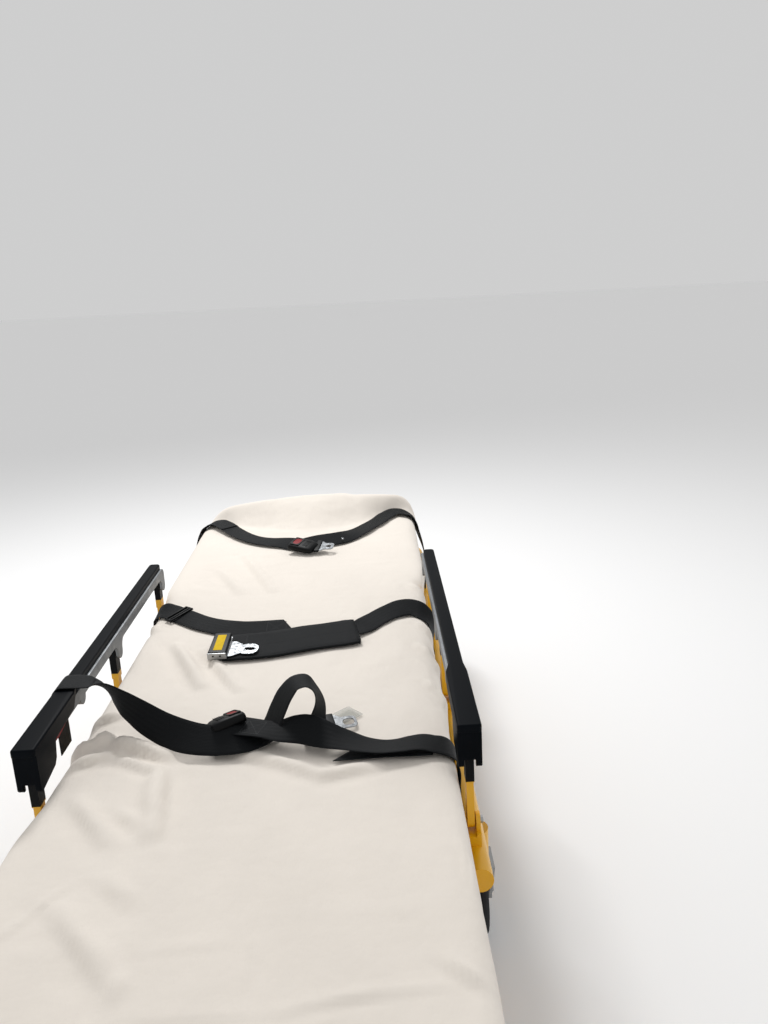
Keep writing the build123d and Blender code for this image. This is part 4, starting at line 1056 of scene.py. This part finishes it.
def scattered(name, tree, places, size, finish, smooth=True):
    """The tree's shape on every (point, facing, along) place, as plain mesh."""
    points = mesh_object(name, [place[0] for place in places], [])
    for index, label in enumerate(("facing", "along"), 1):
        layer = points.data.attributes.new(label, "FLOAT_VECTOR", "POINT")
        layer.data.foreach_set("vector", np.array([list(place[index]) for place in places], float).ravel())
    modifier = points.modifiers.new("scatter", "NODES")
    modifier.node_group = tree
    values = dict(zip(("Length", "Width", "Height", "Material"), (*size, MATERIALS[finish])))
    for socket in tree.interface.items_tree:
        if socket.in_out == "INPUT" and socket.name in values:
            modifier[socket.identifier] = values[socket.name]
    points.data = plain_mesh(points, modifier)
    points.data.polygons.foreach_set("use_smooth", [smooth] * len(points.data.polygons))
    return paint(points, MATERIALS[finish])


class STRETCHER_OT_seams(bpy.types.Operator):
    """Sews the seams of the webbing, stitch by stitch"""

    bl_idname = "stretcher.seams"
    bl_label = "Seams"

    def execute(self, context):
        s = context.scene.stretcher_straps
        tree = scatter_tree("stitches", stitch_shape)
        surface = surface_of(bpy.data.objects["bed_sheet"])
        sewn = {"litter": [], "fold": []}
        straps = {strap[0]: strap[1:] for strap in STRAPS}
        for seam in SEAMS:
            rows, wide, thick, slant, body = straps[seam[0]]
            sewn[body] += seam_places(rows, wide or s.width, thick or s.thickness, seam, surface)
        for body, places in sewn.items():
            size = (s.stitch_length, s.thread, s.thread * 0.7)
            go_with(scattered(f"stitches_{body}", tree, places, size, "thread"), body)
        return {"FINISHED"}


def bolt_places():
    """Where the pivots' bolts sit, by body: point, outward direction and a direction along the head."""
    made = {"litter": []}
    for side, sign in SIDES:
        low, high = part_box(f"rail_brackets_{side}")
        for end in ("head", "middle", "foot"):
            arm_low, arm_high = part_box(f"rail_arm_{side}_{end}")
            place = (low.x if sign < 0 else high.x, (arm_low.y + arm_high.y) / 2, ARM_PIVOT_Z)
            made["litter"].append((place, (sign, 0, 0), (0, 1, 0)))
        for corner in ("head", "foot"):
            low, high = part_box(f"fork_{corner}_{side}")
            hub_low, hub_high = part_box(f"hub_{corner}_{side}")
            y, z = (hub_low.y + hub_high.y) / 2, (hub_low.z + hub_high.z) / 2
            made[f"caster_{corner}_{side}"] = [
                ((x, y, z), (out, 0, 0), (0, 1, 0)) for x, out in ((low.x, -1), (high.x, 1))
            ]
    return made


def rivet_places():
    """Where the dome rivets sit, by body: along the deck's flanges and the base's tracks, found on the solids."""
    made = {}
    for body, node, height, first, last, pitch in RIVET_ROWS:
        surface = surface_of(NODES[node])
        for y in np.arange(first, last, pitch):
            for side, sign in SIDES:
                hit, normal, index, away = surface.ray_cast((0.5 * sign, y, height), (-sign, 0, 0), 0.4)
                if hit and abs(normal.x) > 0.9:
                    made.setdefault(body, []).append((hit, (sign, 0, 0), (0, 1, 0)))
    return made


class STRETCHER_OT_bolts(bpy.types.Operator):
    """Sets the pivot bolts and the frame's rivets"""

    bl_idname = "stretcher.bolts"
    bl_label = "Bolts and Rivets"

    def execute(self, context):
        h = context.scene.stretcher_hardware
        for kind, shape, width, height, smooth, found in (
            ("bolts", bolt_shape, h.pivot_bolt, 0.5, False, bolt_places()),
            ("rivets", rivet_shape, h.frame_rivet, 0.45, True, rivet_places()),
        ):
            tree = scatter_tree(kind, shape)
            for body, places in found.items():
                size = (width, width, width * height)
                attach(scattered(f"{kind}_{body}", tree, places, size, "zinc", smooth), body)
        return {"FINISHED"}


# ---------------------------------------------------------------- buckles
def placed(centre, along, across):
    """Place and turn of a piece from its centre in millimetres and its first two directions."""
    along = Vector(along).normalized()
    up = along.cross(Vector(across)).normalized()
    turn = Matrix((along, up.cross(along), up)).transposed()
    return Matrix.Translation(Vector(centre) * MM) @ turn.to_4x4()


def block(bm, place, at, size, radius, segments=3, taper=1.0):
    """A box of size in millimetres round at, with bevelled edges. taper narrows its far end."""
    low = len(bm.verts)
    made = bmesh.ops.create_cube(bm, size=1.0)["verts"]
    for v in made:
        narrow = taper if v.co.x > 0 else 1.0
        v.co = Vector(at) + v.co * Vector((size[0], size[1] * narrow, size[2]))
    edges = list({e for v in made for e in v.link_edges})
    bmesh.ops.bevel(bm, geom=edges, offset=radius, segments=segments, affect="EDGES", profile=0.6)
    bm.verts.ensure_lookup_table()
    for v in list(bm.verts)[low:]:
        v.co = place @ (v.co * MM)


def both_halves(points):
    """An outline from its half on the -y side."""
    return points + [(x, -y) for x, y in reversed(points)]


def rounded_outline(half, radius, steps=5):
    """A closed outline in millimetres from the corners of its -y half, rounded."""
    corners, points = both_halves(half), []
    for k, corner in enumerate(corners):
        here, before, after = Vector(corner), Vector(corners[k - 1]), Vector(corners[(k + 1) % len(corners)])
        reach = min(radius, (before - here).length * 0.45, (after - here).length * 0.45)
        start, end = here + (before - here).normalized() * reach, here + (after - here).normalized() * reach
        for t in (s / steps for s in range(steps + 1)):
            points.append(tuple(start * (1 - t) ** 2 + here * 2 * t * (1 - t) + end * t * t))
    return points


def edge_hit(outline, centre, angle):
    """Where a ray from centre leaves a closed outline."""
    cx, cy = centre
    dx, dy = math.cos(angle), math.sin(angle)
    best = 0.0
    for (x0, y0), (x1, y1) in zip(outline, outline[1:] + outline[:1]):
        ex, ey = x1 - x0, y1 - y0
        across = dx * ey - dy * ex
        if abs(across) > 1e-9:
            t = ((x0 - cx) * ey - (y0 - cy) * ex) / across
            u = ((x0 - cx) * dy - (y0 - cy) * dx) / across
            if -1e-6 <= u <= 1 + 1e-6:
                best = max(best, t)
    return cx + dx * best, cy + dy * best


def holed_plate(bm, place, outline, hole, low, high, edge=0.3, power=2.6, sides=40):
    """A plate with one round or long hole, its edges broken, from z low to high in millimetres.

    hole is its centre x, y and its half length and half width, and power how square it is.
    """
    cx, cy, rx, ry = hole
    angles = {round(math.atan2(y - cy, x - cx), 5) for x, y in outline}
    angles |= {round(-math.pi + 2 * math.pi * k / sides, 5) for k in range(sides)}
    rows = []
    for angle in sorted(angles):
        ox, oy = edge_hit(outline, (cx, cy), angle)
        reach = (abs(math.cos(angle) / rx) ** power + abs(math.sin(angle) / ry) ** power) ** (-1 / power)
        ix, iy = cx + reach * math.cos(angle), cy + reach * math.sin(angle)
        far = math.hypot(ox - ix, oy - iy)
        ux, uy = (ox - ix) / far * edge, (oy - iy) / far * edge
        upper = [(ix, iy, high - edge), (ix + ux, iy + uy, high), (ox - ux, oy - uy, high), (ox, oy, high - edge)]
        rows.append(upper + [(x, y, low + high - z) for x, y, z in reversed(upper)])
    skin(bm, rows, place, wrap=True)


def moulded_shell(bm, place, stations, sides=36, power=3.4):
    """A shell lofted through rounded rectangles: x, half width, height low and high, in millimetres."""
    rings = []
    for x, half, low, high in stations:
        ring = []
        for k in range(sides):
            c, s = math.cos(2 * math.pi * k / sides), math.sin(2 * math.pi * k / sides)
            y = half * math.copysign(abs(c) ** (2 / power), c)
            z = (low + high) / 2 + (high - low) / 2 * math.copysign(abs(s) ** (2 / power), s)
            ring.append((x, y, z))
        rings.append(ring)
    skin(bm, rings, place, caps=True)


def solid_plate(bm, place, outline, low, high, edge=0.3):
    """A plate of any outline from z low to high in millimetres, its edges broken."""
    middle = Vector([sum(p[k] for p in outline) / len(outline) for k in (0, 1)])
    rings = []
    for z, inset in ((low, edge), (low + edge, 0.0), (high - edge, 0.0), (high, edge)):
        points = [Vector(p) + (middle - Vector(p)).normalized() * inset for p in outline]
        rings.append([(*point, z) for point in points])
    skin(bm, rings, place, caps=True)


def hard_piece(name, body, finish, place, blocks, build=None):
    """A piece with crisp edges: build and then the blocks, by block's own measures, fill it."""
    bm = bmesh.new()
    if build:
        build(bm)
    for row in blocks:
        block(bm, place, *row)
    obj = paint(bmesh_object(name, bm, sharp=40), MATERIALS[finish])
    go_with(obj, body)
    return obj


# The press-button buckle's shell: place along and half width as shares, and its low and high sides in millimetres
BUTTON_SHELL = (
    (-1.0, 0.62, -5, 3), (-0.95, 0.78, -7, 5.2), (-0.78, 0.91, -8.6, 7.4), (-0.4, 1.0, -9, 9), (0.45, 1.0, -9, 9),
    (0.82, 0.98, -9, 8.6), (0.96, 0.93, -8.4, 7.2), (1.0, 0.86, -7, 5.6),
)
# By strap: centre in millimetres, direction along, direction across, then half length and width, or the tongue's hole
BUTTON_BUCKLES = {
    "chest": ((-51, -322, 488), (0.86, 0.5, 0.08), (-0.5, 0.8, -0.36), 26, 23),
    "legs": ((4, 598, 474.5), (-0.86, 0.48, 0.1), (-0.48, -0.85, -0.2), 34, 24),
}
TONGUES = {
    "chest": ((117, -301, 463.5), (0.97, 0.22, 0.0), (-0.22, 0.97, 0.12), 8.5, 8),
    "legs": ((55, 590, 472.5), (1, -0.22, 0.02), (0.2, 0.93, 0.24), 6, 5),
}
TONGUE_HALF = [(-14, -22), (-4, -22), (2, -14.5), (26, -14.5)]
CARD_PLACE = placed((121, -274, 460.6), (0.74, 0.67, 0.0), (-0.67, 0.74, 0.02))
STUD_PLACE = placed((100.6, 655, 470.6), (1, 0.2, 0), (-0.3, 0.86, 0.42))
HIPS_PLACE = placed((-109.5, -7.5, 475.2), (0.06, 0.98, 0.17), (-1, 0.1, 0))
HIPS_TONGUE_PLACE = placed((-91, -13, 470.6), (1, -0.13, 0.0), (0.13, 0.98, 0.14))
SLIDE_PLACE = placed((-226, 191, 466.2), (0.74, -0.66, 0.02), (0.64, 0.74, 0.15))
# Blocks: centre, size, edge radius, and where given segments and taper
HIPS_FRAME = (((0, 0, -4.2), (68, 35, 4.6), 1.0), ((-33.4, 0, 0.6), (2.4, 34, 12), 0.8))
HIPS_LEVER = (((1.6, 0, 2.4), (66, 33.5, 8.8), 2.2, 4, 0.93), ((33.6, 0, 1.6), (3, 24, 4), 1.2))
HIPS_LABEL = (((2, 0, 6.85), (50, 16, 0.5), 0.2),)
HIPS_PINS = (((-34.6, -6.5, 1.2), (1.2, 3.4, 3.4), 0.5), ((-34.6, 6.5, 1.2), (1.2, 3.4, 3.4), 0.5))
SLIDE_BARS = (
    ((-9, 0, 1.2), (4.2, 56, 3.4), 1.2), ((0, 0, 0.2), (4.2, 56, 3.4), 1.2), ((9, 0, 1.2), (4.2, 56, 3.4), 1.2),
    ((0, -27, 0), (22, 4.5, 4.4), 1.4), ((0, 27, 0), (22, 4.5, 4.4), 1.4),
)


def button_buckle(name, body):
    """A press-button buckle: moulded shell with grip ribs, a raised rim, the red button inside it, and a near-black
    block in its mouth as painted shade.
    """
    centre, along, across, long, wide = BUTTON_BUCKLES[name]
    place = placed(centre, along, across)

    def shell(bm):
        moulded_shell(bm, place, [(x * long, w * wide, low, high) for x, w, low, high in BUTTON_SHELL])
        rim = rounded_outline([(0.1 * long, -0.72 * wide), (0.86 * long, -0.72 * wide)], 3.5)
        holed_plate(bm, place, rim, (0.48 * long, 0, 0.27 * long, 0.55 * wide), 7.6, 10.0, 0.5)

    ribs = [((-0.18 * long - 3.2 * k, 0, 8.9), (1.3, 1.1 * wide, 1.2), 0.4, 2) for k in range(4)]
    made = hard_piece(f"{name}_buckle", body, "moulding", place, ribs, shell)
    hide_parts(f"buckle_{name}")
    button = ((0.48 * long, 0, 8.2), (0.52 * long, 1.06 * wide, 2.2), 0.6)
    hard_piece(f"{name}_buckle_button", body, "lever", place, [button])
    # A near-black block in the buckle's mouth: painted shade inside its opening
    painted_mouth_shade = ((long - 0.6, 0, -1.2), (1.6, 1.3 * wide, 4.0), 0.4)
    hard_piece(f"{name}_buckle_mouth", body, "dark_pins_and_painted_shade", place, [painted_mouth_shade])


def slotted_tongue(name, body):
    """A pressed latch tongue with its hole, and the moulded grip round the end that carries the webbing."""
    centre, along, across, *hole = TONGUES[name]
    place = placed(centre, along, across)

    def plate(bm):
        holed_plate(bm, place, rounded_outline(TONGUE_HALF, 10), (13, 0, *hole), -1.1, 1.1, 0.6)

    hard_piece(f"{name}_tongue", body, "chrome", place, [], build=plate)
    hard_piece(f"{name}_tongue_grip", body, "moulding", place, [((-14, 0, 0.4), (13, 50, 6), 2.2)])


def lift_buckle():
    """The hips' lift-lever buckle: steel frame, moulded lever, blank yellow label, dark pins, and its tongue."""
    def plate(bm):
        solid_plate(bm, HIPS_TONGUE_PLACE, rounded_outline([(-6, -25), (7, -25), (24, -12)], 3), -1, 1)
        ring = rounded_outline([(18, -9), (26, -17), (44, -17), (53, -8)], 7)
        holed_plate(bm, HIPS_TONGUE_PLACE, ring, (37, 0, 10, 5), -1.05, 1.05)

    hard_piece("hips_buckle_frame", "litter", "zinc", HIPS_PLACE, HIPS_FRAME)
    lever = hard_piece("hips_buckle", "litter", "moulding", HIPS_PLACE, HIPS_LEVER)
    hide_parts("buckle_hips")
    hard_piece("hips_label", "litter", "label", HIPS_PLACE, HIPS_LABEL)
    hard_piece("hips_buckle_pins", "litter", "dark_pins_and_painted_shade", HIPS_PLACE, HIPS_PINS)
    hard_piece("hips_tongue", "litter", "chrome", None, [], build=plate)


class STRETCHER_OT_buckles(bpy.types.Operator):
    """Makes the buckles, tongues, the slide adjuster and the blank card"""

    bl_idname = "stretcher.buckles"
    bl_label = "Buckles"

    def execute(self, context):
        def card(bm):
            outline = rounded_outline([(-26, -18), (26, -18)], 3)
            holed_plate(bm, CARD_PLACE, outline, (-21, 0, 2, 6), -0.2, 0.2, 0.05)

        button_buckle("chest", "fold")
        slotted_tongue("chest", "fold")
        hard_piece("blank_card", "fold", "card", None, [], build=card)
        button_buckle("legs", "litter")
        slotted_tongue("legs", "litter")
        hard_piece("strap_stud", "litter", "chrome", STUD_PLACE, [((0, 0, 0), (6, 6, 2.4), 1.1)])
        lift_buckle()
        hard_piece("slide_adjuster", "litter", "moulding", SLIDE_PLACE, SLIDE_BARS)
        return {"FINISHED"}


# ---------------------------------------------------------------- rails
def softened(node, radius):
    """A copy of a solid of the frame with its sharp edges rounded, which stands in for it."""
    bm = bmesh.new()
    bm.from_mesh(NODES[node].data)
    bmesh.ops.remove_doubles(bm, verts=bm.verts, dist=0.00002)
    bmesh.ops.dissolve_limit(bm, angle_limit=math.radians(2), verts=bm.verts, edges=bm.edges)
    sharp = [e for e in bm.edges if len(e.link_faces) == 2 and e.calc_face_angle(0.0) > math.radians(35)]
    bmesh.ops.bevel(bm, geom=sharp, offset=radius, segments=3, affect="EDGES", profile=0.5, clamp_overlap=True)
    bmesh.ops.triangulate(bm, faces=bm.faces)
    bmesh.ops.recalc_face_normals(bm, faces=bm.faces)
    return bmesh_object(f"{node}_rounded", bm, sharp=40)


class STRETCHER_OT_rails(bpy.types.Operator):
    """Rounds the edges of the side rails' caps and castings"""

    bl_idname = "stretcher.rails"
    bl_label = "Side Rails"

    def execute(self, context):
        h = context.scene.stretcher_hardware
        for side, sign in SIDES:
            for node, finish, radius, slot in (
                (f"rail_cap_{side}", "cap", h.cap_edge, "rail_polymer"),
                (f"rail_{side}", "casting", h.casting_edge, "cast_aluminium"),
            ):
                made = paint(softened(node, radius), MATERIALS[finish])
                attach(made, f"rail_{side}")
                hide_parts(node)
        return {"FINISHED"}


# ---------------------------------------------------------------- tyres
TYRE_SEGMENTS = 84


def tyre_profile(half, inner, outer, groove):
    """The tyre's section as (x, radius): tread with two grooves, round shoulders, side walls and rim beads."""
    shoulder = half * 0.42
    side = [(0.0, outer), (0.26 * half, outer), (0.30 * half, outer - groove), (0.38 * half, outer - groove),
            (shoulder, outer)]
    for k in range(7):
        a = math.radians(15 * k)
        side.append((half - shoulder + shoulder * math.sin(a), outer - shoulder + shoulder * math.cos(a)))
    side += [(half, inner + 0.45 * (outer - inner - shoulder)), (half * 0.97, inner + 0.002),
             (half * 0.9, inner + 0.0006), (half * 0.86, inner)]
    return side + [(-x, r) for x, r in reversed(side[1:])]


class STRETCHER_OT_tyres(bpy.types.Operator):
    """Turns the tyres of the casters and the loading wheels"""

    bl_idname = "stretcher.tyres"
    bl_label = "Tyres"

    def execute(self, context):
        h = context.scene.stretcher_hardware
        names = [(f"tyre_{c}_{s}", f"wheel_{c}_{s}") for c in ("head", "foot") for s, sign in SIDES]
        names += [(f"load_tyre_{s}", f"load_wheel_{s}") for s, sign in SIDES]
        for node, body in names:
            low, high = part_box(node)
            hub_low, hub_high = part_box(node.replace("tyre", "hub"))
            inner, outer = (hub_high.z - hub_low.z) / 2, (high.z - low.z) / 2
            profile = tyre_profile((high.x - low.x) / 2, inner, outer, h.tread_groove)
            turns = [2 * math.pi * k / TYRE_SEGMENTS for k in range(TYRE_SEGMENTS)]
            bm = bmesh.new()
            skin(bm, [
                [(low + high) / 2 + Vector((x, r * math.cos(a), r * math.sin(a))) for x, r in profile] for a in turns
            ], wrap=True)
            obj = paint(bmesh_object(node.replace("tyre", "rubber"), bm, sharp=50), MATERIALS["tyre"])
            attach(obj, body)
            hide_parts(node)
        return {"FINISHED"}


# ---------------------------------------------------------------- stage
def look_matrix():
    """The camera's turn from its yaw, pitch and roll."""
    yaw, pitch, roll = (math.radians(a) for a in (CAMERA_YAW, CAMERA_PITCH, CAMERA_ROLL))
    ahead = Vector((math.sin(yaw) * math.cos(pitch), math.cos(yaw) * math.cos(pitch), -math.sin(pitch)))
    flat = Vector((math.cos(yaw), -math.sin(yaw), 0.0))
    down = ahead.cross(flat)
    right = flat * math.cos(roll) - down * math.sin(roll)
    up = -(down * math.cos(roll) + flat * math.sin(roll))
    return Matrix((right, up, -ahead)).transposed()


def staged(name, data, place, turn):
    """A camera or lamp at its place and turn."""
    made = bpy.data.objects.new(name, data)
    bpy.context.scene.collection.objects.link(made)
    made.matrix_world = Matrix.Translation(place) @ turn.to_4x4()
    return made


class STRETCHER_OT_stage(bpy.types.Operator):
    """Makes the pale floor, the studio light and the camera"""

    bl_idname = "stretcher.stage"
    bl_label = "Stage"

    def execute(self, context):
        scene, r = context.scene, FLOOR_REACH
        lens = bpy.data.cameras.new("camera")
        lens.sensor_width = SENSOR_MM
        lens.lens = CAMERA_FOCAL_PX / IMAGE_LONG_PX * SENSOR_MM
        scene.camera = staged("camera", lens, CAMERA_PLACE, look_matrix())
        floor = mesh_object("floor", [(-r, -r, 0), (r, -r, 0), (r, r, 0), (-r, r, 0)], [(0, 1, 2, 3)])
        paint(floor, new_material("painted_studio_floor", scene.stretcher_colours.floor, 0.9)[0])
        scene.world = bpy.data.worlds.new("studio")
        scene.world.use_nodes = True
        background = scene.world.node_tree.nodes["Background"]
        background.inputs["Color"].default_value = (1.0, 1.0, 1.0, 1.0)
        background.inputs["Strength"].default_value = WORLD_STRENGTH
        for name, place, size, power in LAMPS:
            lamp = bpy.data.lights.new(name, "AREA")
            lamp.size, lamp.energy = size, power
            staged(name, lamp, place, (Vector(place) - Vector(LAMP_AIM)).to_track_quat("Z", "Y").to_matrix())
        scene.view_settings.view_transform = "Standard"
        return {"FINISHED"}


class STRETCHER_PT_panel(bpy.types.Panel):
    """Lists the stretcher's operators"""

    bl_label = "Stretcher"
    bl_idname = "STRETCHER_PT_panel"
    bl_space_type = "VIEW_3D"
    bl_region_type = "UI"
    bl_category = "Stretcher"

    def draw(self, context):
        for operator in OPERATORS:
            self.layout.operator(operator.bl_idname)


# In the order in which they run
OPERATORS = (
    STRETCHER_OT_stage, STRETCHER_OT_finishes, STRETCHER_OT_sheet, STRETCHER_OT_straps, STRETCHER_OT_seams,
    STRETCHER_OT_buckles, STRETCHER_OT_rails, STRETCHER_OT_tyres, STRETCHER_OT_bolts,
)
SETTINGS = {
    "stretcher_colours": StretcherColours, "stretcher_sheet": StretcherSheet, "stretcher_straps": StretcherStraps,
    "stretcher_hardware": StretcherHardware,
}
CLASSES = (*SETTINGS.values(), *OPERATORS, STRETCHER_PT_panel)


def register():
    for cls in CLASSES:
        bpy.utils.register_class(cls)
    for name, group in SETTINGS.items():
        setattr(bpy.types.Scene, name, bpy.props.PointerProperty(type=group))


def unregister():
    for name in SETTINGS:
        delattr(bpy.types.Scene, name)
    for cls in reversed(CLASSES):
        bpy.utils.unregister_class(cls)


def main():
    register()
    bpy.ops.stretcher.stage()
    bpy.ops.stretcher.finishes()
    bpy.ops.stretcher.sheet()
    bpy.ops.stretcher.straps()
    bpy.ops.stretcher.seams()
    bpy.ops.stretcher.buckles()
    bpy.ops.stretcher.rails()
    bpy.ops.stretcher.tyres()
    bpy.ops.stretcher.bolts()


if __name__ == "__main__":
    main()
